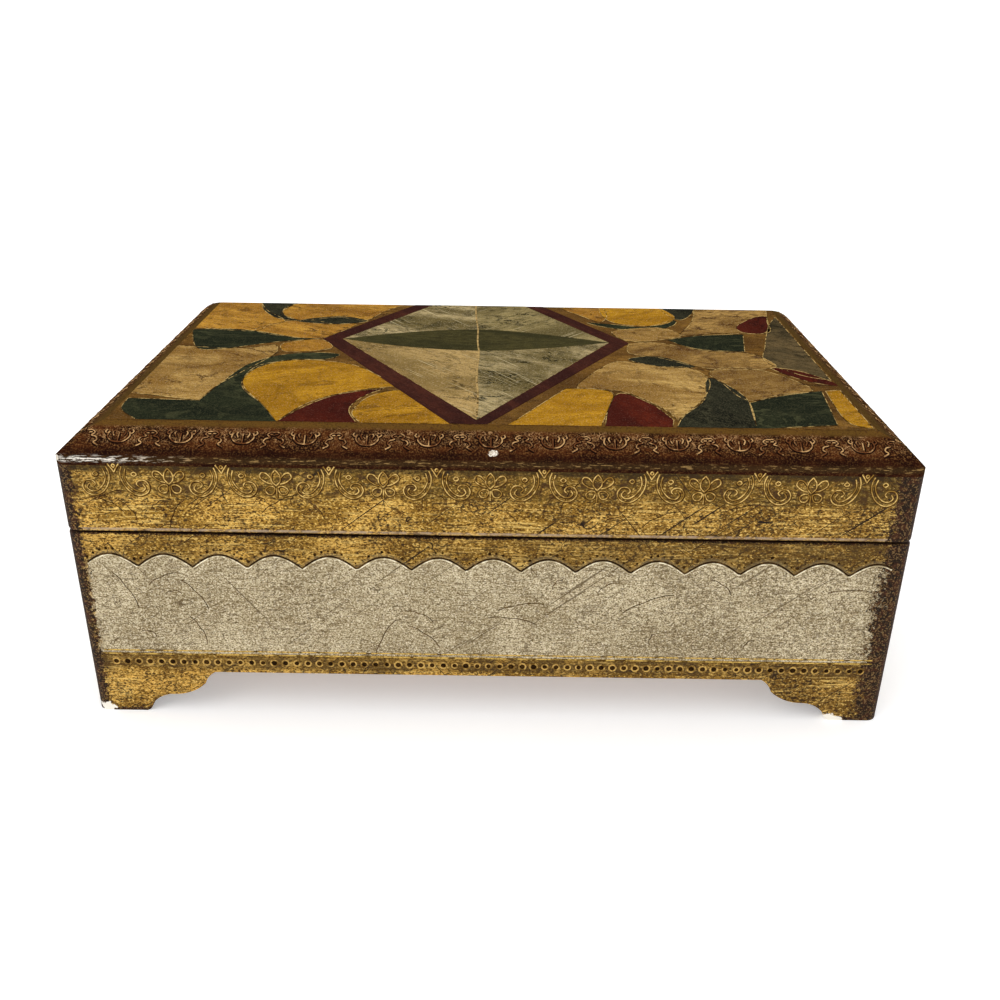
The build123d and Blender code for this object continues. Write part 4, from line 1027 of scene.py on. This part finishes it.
def motif_of(name, strokes, radius, lay_out, mirrored=True):
    """One mesh of several strokes, with their mirror images if asked."""
    verts, faces = [], []
    for points in strokes:
        closed = points[0] == points[-1]
        path = smooth_path(points[:-1] if closed else points, closed=closed)
        for way in ((1, -1) if mirrored and any(abs(u) > 0.01 for u, _ in points) else (1,)):
            more, loops = stroke([(u * way, v) for u, v in path], radius, lay_out, closed)
            faces += [tuple(index + len(verts) for index in loop[::way]) for loop in loops]
            verts += more
    return outward(piece_from(name, verts, faces, punched_gold))


# %% Where the strokes lie
def upright(u, v, out):
    """On an upright side: along, up, and out of the face."""
    return (u, -out, v)


chord = math.hypot(shoulder_inset, lid_top - shoulder_foot)
slope_in, slope_up = shoulder_inset / chord, (lid_top - shoulder_foot) / chord
shoulder_bulge = 0.8
bow = (chord ** 2 / 4 + shoulder_bulge ** 2) / (2 * shoulder_bulge)
shoulder_start = 2.9


def over_shoulder(u, v, out):
    """On the bowed shoulder: along, up its slope from where the stamps start, and out of it."""
    climb = v + shoulder_start
    proud = math.sqrt(bow ** 2 - (climb - chord / 2) ** 2) - (bow - shoulder_bulge) + out
    return (u, climb * slope_in - proud * slope_up, climb * slope_up + proud * slope_in)


# %% The motifs, drawn to the right of their middle line
scroll_strokes = [
    [(1.8, 7.5), (1.3, 5.8), (1.6, 3.6), (2.9, 1.4), (5.0, 0.2), (7.0, 0.8), (7.8, 2.4), (7.0, 3.9),
        (5.5, 4.0), (4.8, 3.1), (5.4, 2.4)],
    [(2.6, 6.9), (2.2, 5.0), (2.9, 3.1), (4.3, 1.6), (5.8, 1.2), (6.8, 2.1), (6.3, 3.1)],
    [(0.0, 6.1), (0.5, 7.0), (1.3, 8.2)],
    [(0.35, 7.7), (0.0, 8.1), (-0.35, 7.7), (0.0, 7.3), (0.35, 7.7)],
    [(3.9, 5.6), (4.5, 6.1), (5.1, 5.6), (4.5, 5.1), (3.9, 5.6)],
]
flower_strokes = [
    [(0.0, 3.2), (1.0, 4.4), (0.9, 6.0), (0.0, 7.2)],
    [(0.9, 3.6), (2.2, 4.0), (3.6, 5.2), (3.3, 6.4), (2.2, 6.3), (1.2, 5.2)],
    [(0.5, 2.8), (1.6, 3.0), (2.6, 2.2), (2.2, 1.1), (1.1, 1.0), (0.5, 1.9), (0.5, 2.8)],
    [(0.0, 0.1), (0.0, 1.5), (0.0, 2.6)],
]
cup_strokes = [
    [(3.0, 5.2), (3.3, 4.5), (2.7, 4.0), (2.3, 4.6), (2.6, 3.2), (1.5, 1.9), (0.0, 1.6)],
    [(0.0, 1.6), (0.0, 2.9), (0.0, 4.3)],
    [(1.2, 4.9), (1.5, 4.3), (1.1, 3.3)],
    [(7.6, 4.9), (6.5, 5.0), (5.7, 4.2), (6.4, 3.4), (5.3, 3.0), (4.9, 2.1), (5.6, 1.4), (4.4, 0.6)],
    [(7.0, 4.3), (6.3, 4.3)],
]
stroke_radius = 0.17
scroll_height = shoulder_foot - 9.2


def outlined(name, strokes, lay_out, width):
    """The strokes twice: a narrow raised line, and a wide low one as painted shadow round it."""

    # The painted shadow sits a little right of and below the raised line.
    def lower(u, v, out):
        return lay_out(u + 0.06, v - 0.1, out * 0.35)

    painted_shadow = motif_of(name + "_groove", strokes, width * 2, lower)
    return motif_of(name, strokes, width, lay_out), painted_shadow


scroll_motif, scroll_groove = outlined("scroll_motif", scroll_strokes, upright, stroke_radius)
flower_motif, flower_painted_shadow = outlined("flower_motif", flower_strokes, upright, stroke_radius)
cup_motif, cup_painted_shadow = outlined("cup_motif", cup_strokes, over_shoulder, stroke_radius * 1.3)
# The scrolls' raised lines carry a painted highlight, and the low dark copies are painted shadow.
scroll_gold_highlight = tooled_finish("scroll_highlight", srgb(214, 180, 108), srgb(138, 104, 46), 0.50)
shoulder_gold = tooled_finish("shoulder_stamp", srgb(190, 150, 100), srgb(96, 58, 32), 0.5)
painted_shadow_dark = tooled_finish("scroll_groove", srgb(98, 70, 30), srgb(60, 40, 18), 0.5)
shoulder_shadow_dark = tooled_finish("shoulder_groove", srgb(34, 18, 11), srgb(24, 12, 8), 0.5)
print("motifs:", [len(one.data.polygons) for one in (scroll_motif, flower_motif, cup_motif)])

# %% Repeat them round the lid
scroll_pitch, cup_pitch, cup_end = 25.0, 14.5, 5
borders = {}
for side, (angle, reach, out, *_) in sides.items():
    pairs = int(2 * reach / scroll_pitch)
    pair_reach = (pairs - 1) * scroll_pitch / 2
    flower_reach = pair_reach - scroll_pitch / 2
    cups = int(2 * (reach - cup_end) / cup_pitch)
    cup_reach = (cups - 1) * cup_pitch / 2
    for name, used, finish, half_run, height, count in (
        ("lid_scroll_border", scroll_motif, scroll_gold_highlight, pair_reach, scroll_height, pairs),
        ("lid_scroll_grooves", scroll_groove, painted_shadow_dark, pair_reach, scroll_height, pairs),
        ("lid_scroll_border", flower_motif, scroll_gold_highlight, flower_reach, scroll_height, pairs - 1),
        ("lid_scroll_grooves", flower_painted_shadow, painted_shadow_dark, flower_reach, scroll_height, pairs - 1),
        ("shoulder_border", cup_motif, shoulder_gold, cup_reach, shoulder_foot, cups),
        ("shoulder_grooves", cup_painted_shadow, shoulder_shadow_dark, cup_reach, shoulder_foot, cups),
    ):
        borders.setdefault(name, []).append(run_along(
            punch_tree, side, used.name, half_run, out, height, "lid",
            {"Points": count, "Motif": used, "Material": finish},
        ))
for name, parts in borders.items():
    joined(name, parts, "lid")
for used in (scroll_motif, flower_motif, cup_motif, scroll_groove, flower_painted_shadow, cup_painted_shadow):
    bpy.data.objects.remove(used)

# %% [markdown]
# ## Scratches
# Long thin scratches run across the leaf at all angles. They are few, so they are laid as fine dark
# ribbons, scattered with a fixed seed by a tree of their own: it draws points at random in a box,
# and sets the same slightly curved stroke at each, turned and scaled at random. On the lid's back
# they keep clear of the rear edge, where the lid comes down on the back board as it opens.


# %% Tree for scattered scratches
def drawn_value(tree, kind, low, high, seed):
    """A random value between low and high for each point."""
    first, output = (0, 0) if kind == "FLOAT_VECTOR" else (2, 1)
    inputs = {first: low, first + 1: high, "Seed": seed}
    return add_node(tree, "FunctionNodeRandomValue", inputs, data_type=kind).outputs[output]


scratch_tree, given = new_tree("scattered_scratches", {
    "Low": "Vector", "High": "Vector", "Count": "Int", "Motif": "Object", "Turn": "Vector",
    "Seed": "Int", "Material": "Material",
})
spread = drawn_value(scratch_tree, "FLOAT_VECTOR", given["Low"], given["High"], given["Seed"])
places = add_node(scratch_tree, "GeometryNodePoints", {"Count": given["Count"], "Position": spread})
motif = add_node(scratch_tree, "GeometryNodeObjectInfo", {"Object": given["Motif"]})
marks = add_node(scratch_tree, "GeometryNodeInstanceOnPoints", {
    "Points": places.outputs[0], "Instance": motif.outputs["Geometry"], "Rotation": given["Turn"],
})
tilt_seed = node_math(scratch_tree, "ADD", given["Seed"], 11)
size_seed = node_math(scratch_tree, "ADD", given["Seed"], 23)
slant = drawn_value(scratch_tree, "FLOAT", -1.25, 1.25, tilt_seed)
tilt = add_node(scratch_tree, "ShaderNodeCombineXYZ", {"Y": slant})
turned = add_node(scratch_tree, "GeometryNodeRotateInstances", {
    "Instances": marks.outputs[0], "Rotation": tilt.outputs[0],
})
share = drawn_value(scratch_tree, "FLOAT", 0.25, 1.0, size_seed)
stretch = add_node(scratch_tree, "ShaderNodeCombineXYZ", {"X": share, "Y": 1.0, "Z": 1.0})
scaled = add_node(scratch_tree, "GeometryNodeScaleInstances", {
    "Instances": turned.outputs[0], "Scale": stretch.outputs[0],
})
end_tree(scratch_tree, given, scaled.outputs[0])

# %% Scratch the sides of carcass and lid
scratch_dark = tooled_finish("scratch_dirt", srgb(84, 58, 34), srgb(46, 28, 14), 0.5)
scratch_path = [(-7.0, -0.7), (-4.2, 0.1), (-1.0, 0.25), (1.6, 0.55), (4.5, 0.35), (7.0, -0.2)]
scratch_end, rear_clear = 9, 3.8


def low_on_face(u, v, out):
    return (u, -out * 0.3, v)


for body, low_edge, high_edge, rate, length, first_seed in (
    ("carcass", 21, 41, 0.09, 1.0, 4),
    ("lid", 57.2, 65.6, 0.15, 0.7, 40),
):
    path = [(u * length, v) for u, v in scratch_path]
    scratch = motif_of("scratch_motif", [path], 0.12, low_on_face, mirrored=False)
    parts = []
    for number, (side, (angle, reach, out, *_)) in enumerate(sides.items()):
        lowest = low_edge + rear_clear * (body == "lid" and side == "back")
        half_run = reach - scratch_end
        values = {
            "Low": on_side(side, -half_run, out, lowest), "High": on_side(side, half_run, out, high_edge),
            "Count": int(reach * 2 * rate), "Motif": scratch, "Turn": (0.0, 0.0, math.radians(angle)),
            "Seed": first_seed + number, "Material": scratch_dark,
        }
        parts.append(run_tree(scratch_tree, f"{body}_scratches_{side}", values, body))
    joined(body + "_scratches", parts, body)
    bpy.data.objects.remove(scratch)

# %% [markdown]
# ## Printed stone inlay
# The lid's flat is covered by a varnished print of cut marbles: a dark red lozenge round four pale
# slabs, a green spindle across its middle, and leaves and teardrops of ochre, cream, green and red
# stone in the four corners, with fine gold lines between them. Each stone is a very thin slab with
# its own outline, laid a hair's breadth above the sheet, so that it is real geometry from every side.


# %% Stone finishes
def stone_finish(name, light, mid, vein, direction, veining=0.5, vein_size=9.0, hatched=0):
    """Marble with clouds and veins that flow in one direction, under a printed grain."""
    finish = Finish(name)
    flow = finish.turned(direction, (0.35, 1.0, 1.0))
    cloud = finish.patches(13, 5, 0.36, 0.64, place=flow, seed=len(name), bend=0.6)
    colour = finish.mix(cloud, mid, light)
    colour = finish.over(colour, mid, finish.patches(1.1, 4, 0.42, 0.62, place=flow, seed=3.0), 0.6)
    colour = finish.over(colour, vein, finish.patches(0.4, 1.5, 0.48, 0.68, seed=4.0), 0.5)
    bands = finish.noise(vein_size, 4, place=flow, seed=len(name) + 2.0, bend=1.2, rough=0.62)
    veins = finish.times(finish.line(bands, 0.5, 0.022), finish.patches(16, 2, 0.44, 0.6, seed=5.0))
    wide = finish.times(finish.rise(bands, 0.56, 0.72), 0.45)
    colour = finish.over(colour, vein, finish.most(veins, wide), veining)
    colour = finish.over(colour, vein, finish.patches(0.45, 2, 0.62, 0.7, seed=7.0), 0.25)
    stain = finish.patches(7, 4, 0.5, 0.68, seed=9.0, bend=1.5, rough=0.65)
    colour = finish.over(colour, vein, stain, veining, 0.6)
    pale = finish.mix(0.5 * light[0], light, (1, 0.95, 0.8, 1))
    colour = finish.over(colour, pale, finish.patches(0.4, 1.5, 0.56, 0.7, seed=6.0), 0.35)
    if hatched:
        hatch_place = finish.turned(hatched, (0.03, 1.3, 1.0))
        hatch = finish.patches(0.8, 1, 0.64, 0.70, place=hatch_place, seed=12.0)
        hatch = finish.times(hatch, finish.patches(12, 2, 0.4, 0.56, seed=13.0))
        colour = finish.over(colour, srgb(206, 190, 146), hatch, 0.6)
    finish.relief(finish.noise(0.7, 3, seed=8.0), 0.12, 0.05)
    return finish.done(colour, 0.34, Specular_IOR_Level=0.0)


# Each stone: its material's name, its light, middle and vein colours, and how its veins run.
stone_recipes = {
    "ochre": ("ochre_marble", (192, 142, 54), (138, 94, 32), (70, 44, 20), 24, 0.9),
    "deep_ochre": ("deep_ochre_marble", (188, 138, 34), (148, 104, 22), (84, 54, 18), -18, 0.6),
    "cream": ("cream_marble", (196, 160, 92), (132, 98, 46), (76, 50, 24), 12, 0.9),
    "veined_tan": ("veined_tan_marble", (174, 138, 76), (110, 80, 38), (62, 36, 20), -24, 1.0, 7),
    "green": ("bottle_green_marble", (42, 46, 31), (24, 28, 21), (72, 72, 48), 8, 0.7),
    "black": ("black_marble", (40, 40, 30), (20, 21, 17), (84, 80, 58), 40, 0.3, 6),
    "red": ("dark_red_marble", (94, 36, 22), (66, 25, 18), (42, 19, 15), 70, 0.7),
    "plum": ("plum_red_border", (74, 40, 30), (52, 28, 24), (38, 20, 18), 60, 0.5, 6),
    "grey": ("worn_grey_green", (104, 86, 56), (62, 54, 36), (34, 30, 20), 30, 0.9, 6),
    "pale": ("pale_slab", (184, 164, 118), (104, 90, 54), (38, 36, 22), 30, 1.0, 8, 55),
    "pale_turned": ("pale_slab_turned", (160, 142, 94), (98, 86, 52), (40, 36, 24), -34, 1.0, 8, -50),
    "pale_warm": ("pale_warm_slab", (184, 154, 98), (132, 108, 62), (66, 52, 30), 34, 0.8, 7, 50),
    "olive": ("olive_spindle", (72, 66, 38), (48, 46, 28), (34, 32, 20), 4, 0.4, 6),
    "ground": ("print_ground", (130, 94, 42), (90, 62, 28), (50, 34, 17), 15, 0.8, 7),
}
stones = {}
for kind, (name, light, mid, vein, *veins) in stone_recipes.items():
    stones[kind] = stone_finish(name, srgb(*light), srgb(*mid), srgb(*vein), *veins)
crack_gold = tooled_finish("fine_gold_crack", srgb(206, 174, 108), srgb(54, 38, 20), 0.50)
seam_gold = tooled_finish("gold_seam", srgb(184, 154, 98), srgb(74, 56, 30), 0.42)
print(len(stones), "stone finishes")


# %% [markdown]
# ## Outlines of the stones
# The pattern is a lozenge with a border, split into four slabs by a seam and a spindle. Round it lie
# leaves and teardrops, each a smooth outline through a few points in whole millimetres. Drawing the
# outlines as meshes keeps their edges sharp from close by. A lower layer runs beneath a higher one,
# so that neighbours meet without a gap, and a fine gold line follows each outline that shows.

# %% The lozenge, in millimetres from the lid's middle
lozenge_middle, lozenge_half = (-5.5, 14.0), (45.5, 76.0)
border = 6.0
print_edge = 54.6
left, right = lozenge_middle[0] - lozenge_half[0], lozenge_middle[0] + lozenge_half[0]
across = lozenge_middle[1]
slope = lozenge_half[1] / lozenge_half[0]


def sharp(*points):
    """Every point as a corner."""
    return [point for point in points for _ in (0, 1)]


def lozenge_cut(shrink, side, edge):
    """Where the lozenge, made smaller by shrink, meets the sheet's front or back edge."""
    rise = abs(edge - across)
    reach = lozenge_half[0] - shrink - rise / slope
    return (lozenge_middle[0] + side * max(reach, 0.0), edge)


border_outer = [
    lozenge_cut(0, -1, print_edge), lozenge_cut(0, 1, print_edge), (right, across),
    lozenge_cut(0, 1, -print_edge), lozenge_cut(0, -1, -print_edge), (left, across),
]
centre, back_seam = (-4.5, across), (-6.5, print_edge)
front_tip = (-3.6, across - (lozenge_half[1] - border * slope))
slabs = [
    ("pale", [back_seam, lozenge_cut(border, -1, print_edge), (left + border, across), centre]),
    ("pale_turned", [lozenge_cut(border, 1, print_edge), back_seam, centre, (right - border, across)]),
    ("pale_warm", [(left + border, across), front_tip, centre]),
    ("pale", [centre, front_tip, (right - border, across)]),
]
spindle = sharp((left + border, across)) + [(-26, 22), (-5, 26), (14, 22)]
spindle += sharp((right - border, across)) + [(14, 7), (-5, 4), (-26, 7)]

# %% Outlines of the stones round it: kind, points and layer
panels = [
    ("ochre", sharp((-92, 55), (-78, 55)) + [(-74, 45), (-66, 33), (-70, 27), (-74, 21)]
        + sharp((-92, 24)), 1),
    ("black", sharp((-78, 55), (-66, 55)) + [(-69, 47), (-67, 39), (-61, 33), (-69, 36), (-75, 45)], 2),
    ("ochre", sharp((-66, 55), (-30, 55)) + [(-36, 46), (-41, 35), (-50, 38), (-61, 34), (-69, 42)], 1),
    ("black", [(-62, 33), (-50, 39), (-40, 34), (-50, 30)], 3),
    ("ochre", [(-73, 22), (-66, 32), (-58, 34), (-50, 30), (-43, 30)] + sharp((-51, 14)) + [(-60, 15)], 1),
    ("green", sharp((-92, 22)) + [(-82, 23), (-72, 21), (-59, 15)] + sharp((-51, 14))
        + [(-64, 10), (-79, 2), (-86, 4)], 2),
    ("ochre", [(-62, 8), (-57, 12), (-51, 13), (-47, 5), (-54, 1), (-60, 1)], 1),
    ("cream", sharp((-92, 5)) + [(-84, 4), (-78, 3), (-70, 4), (-64, 7), (-62, 0), (-64, -8), (-71, -28)]
        + sharp((-73, -41)) + sharp((-92, -36)), 1),
    ("green", sharp((-91, -40), (-73, -41)) + [(-71, -28), (-68, -13), (-62, -4), (-53, 0), (-44, -1),
        (-47, -6), (-57, -7), (-64, -14), (-66, -23), (-64, -32), (-57, -43)]
        + sharp((-51, -55), (-84, -55)) + [(-90, -48)], 2),
    ("deep_ochre", [(-66, -22), (-64, -12), (-55, -7), (-45, -8), (-36, -13)] + sharp((-25, -28))
        + [(-37, -33), (-46, -42)] + sharp((-51, -55)) + [(-57, -43), (-64, -31)], 1),
    ("red", sharp((-51, -55)) + [(-46, -44), (-39, -35)] + sharp((-28, -30)) + [(-33, -37), (-35, -46)]
        + sharp((-32, -55)), 2),
    ("deep_ochre", sharp((-31, -55)) + [(-34, -48), (-32, -38), (-27, -32)]
        + sharp((-22, -31), (-8, -55)), 1),
    ("ochre", [(22, 53), (29, 55), (35, 55), (36, 44), (33, 37), (27, 45)], 1),
    ("deep_ochre", [(35, 55), (45, 56), (54, 55), (58, 44), (54, 36), (47, 33), (39, 35), (35, 42)], 2),
    ("green", [(29, 36), (38, 34), (47, 32), (57, 40), (56, 34), (48, 28), (36, 30)], 1),
    ("black", sharp((54, 55), (66, 55)) + [(64, 48), (60, 41), (57, 43)], 2),
    ("veined_tan", sharp((66, 55), (90, 55)) + [(87, 40), (84, 27), (68, 26), (57, 23), (61, 34),
        (64, 44)], 1),
    ("red", [(76, 34), (83, 44), (88, 46), (84, 28), (77, 27)], 2),
    ("cream", [(36, 26), (44, 30), (52, 31), (57, 23), (50, 18), (40, 16)], 2),
    ("green", sharp((52, 18)) + [(62, 23), (75, 25)] + sharp((76, 24), (73, 7)) + [(62, 8), (56, 12)], 2),
    ("veined_tan", sharp((40, 14)) + [(48, 15), (54, 12), (62, 7), (73, 6), (78, -1), (78, -8), (66, -10),
        (57, -8), (47, 0), (39, 4)], 1),
    ("grey", sharp((91, 46)) + [(86, 34), (80, 12), (77, -2), (84, -14)] + sharp((91, -18)), 1),
    ("cream", [(22, -26), (30, -10), (36, -4), (46, -8), (54, -9), (58, -19), (54, -34)] + sharp((45, -50))
        + [(42, -41), (35, -31), (28, -28)], 1),
    ("black", [(38, -2), (47, 1), (56, -8), (46, -8)], 3),
    ("deep_ochre", sharp((4, -55), (19, -28)) + [(26, -28), (31, -31), (29, -42)] + sharp((26, -55)), 1),
    ("red", sharp((27, -55)) + [(29, -42), (33, -31), (40, -39)] + sharp((44, -50), (43, -55)), 2),
    ("black", sharp((44, -55)) + [(47, -47), (54, -35), (57, -20), (60, -19), (65, -34)]
        + sharp((63, -55)), 2),
    ("veined_tan", [(59, -13), (66, -8), (76, -12), (84, -26), (75, -30), (65, -35), (61, -22)], 1),
    ("green", sharp((65, -37)) + [(75, -31)] + sharp((86, -27), (83, -52)) + sharp((63, -55)), 2),
    ("deep_ochre", sharp((87, -27), (91, -26), (91, -54)) + [(86, -49)], 1),
    ("red", [(77, -8), (85, -11), (92, -22), (84, -19)], 2),
]
print(len(panels), "stones round the lozenge")

# %% Lay the stones
sheet_top = print_top - 0.16
layer_step, hair, slab_sunk = 0.035, 0.00002, 0.1
print_margin, least_step = 0.05, 0.02
groups = {}


def inside_print(point):
    """The point, kept on the printed sheet."""
    return tuple(
        max(-half + print_margin, min(half - print_margin, value)) for value, half in zip(point, print_half)
    )


def lay(kind, outline, layer):
    """Adds a thin slab with this outline to its kind's mesh; each stands a hair above the one before."""
    builder = groups.setdefault(kind, bmesh.new())
    top = sheet_top + layer * layer_step + len(builder.verts) * hair
    ring = []
    for point in outline:
        place = inside_print(point)
        if not ring or math.dist(place, ring[-1]) > least_step:
            ring.append(place)
    if math.dist(ring[0], ring[-1]) < least_step:
        ring.pop()
    upper = [builder.verts.new(Vector((x, y, top)) * MM) for x, y in ring]
    lower = [builder.verts.new(Vector((x, y, sheet_top - slab_sunk)) * MM) for x, y in ring]
    faces = [builder.faces.new(upper), builder.faces.new(lower[::-1])]
    for index in range(len(ring)):
        ahead = (index + 1) % len(ring)
        faces.append(builder.faces.new((upper[index], lower[index], lower[ahead], upper[ahead])))
    bmesh.ops.recalc_face_normals(builder, faces=faces)
    return ring


def on_lid_print(piece):
    """A piece that goes with the lid."""
    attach(piece, "lid")


outlines = [(lay(kind, smooth_path(points, 6, closed=True), layer), layer) for kind, points, layer in panels]
outlines.append((lay("plum", border_outer, 3), 3))
outlines += [(lay(kind, points, 4), 4) for kind, points in slabs]
outlines.append((lay("olive", smooth_path(spindle, 6, closed=True), 4.6), 4))
sheet_verts = [
    (x * print_half[0], y * print_half[1], z)
    for z in (lid_top, sheet_top) for x, y in ((-1, -1), (1, -1), (1, 1), (-1, 1))
]
sheet_faces = [(3, 2, 1, 0), (4, 5, 6, 7), (0, 1, 5, 4), (1, 2, 6, 5), (2, 3, 7, 6), (3, 0, 4, 7)]
sheet = piece_from("inlay_sheet", sheet_verts, sheet_faces, stones["ground"], smooth=False)
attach(sheet, "lid")
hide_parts("inlay_print")
for kind, builder in groups.items():
    mesh = bpy.data.meshes.new("inlay_" + kind)
    builder.to_mesh(mesh)
    builder.free()
    mesh.materials.append(stones[kind])
    on_lid_print(add_object("inlay_" + kind, mesh))
print(len(groups), "kinds of stone laid")


# %% Gold lines between the stones
line_lift = 0.09


def on_lid(u, v, out):
    """On the lid's flat: right, back, and up from the sheet."""
    return (u, v, sheet_top + line_lift + out)


def has_line(point, layer):
    """False on the sheet's edge, and where a lower stone's outline runs beneath the lozenge."""
    on_edge = any(abs(value) > half - 0.2 for value, half in zip(point, print_half))
    away = [abs(value - middle) / half for value, middle, half in zip(point, lozenge_middle, lozenge_half)]
    return not on_edge and not (layer < 3 and sum(away) < 0.99)


runs = []
for outline, layer in outlines:
    run = []
    for point in outline + outline[:1]:
        if has_line(point, layer):
            run.append(point)
        else:
            runs.append(run)
            run = []
    runs.append(run)
seam = [(-6.6, 54), (-6.1, 40), (-5.2, 26), (-5, 14), (-4.3, 0), (-4.5, -18), (-3.7, -34), (-3.6, -50)]
for name, paths, radius, finish in (
    ("inlay_gold_lines", [run for run in runs if len(run) > 1], 0.13, crack_gold),
    ("inlay_seam", [smooth_path(seam, 5)], 0.34, seam_gold),
):
    verts, faces = [], []
    for path in paths:
        more, loops = stroke(path, radius, on_lid, edges=4, flat=0.3)
        faces += [tuple(index + len(verts) for index in loop) for loop in loops]
        verts += more
    on_lid_print(outward(piece_from(name, verts, faces, finish)))
    print(name, len(faces), "faces")
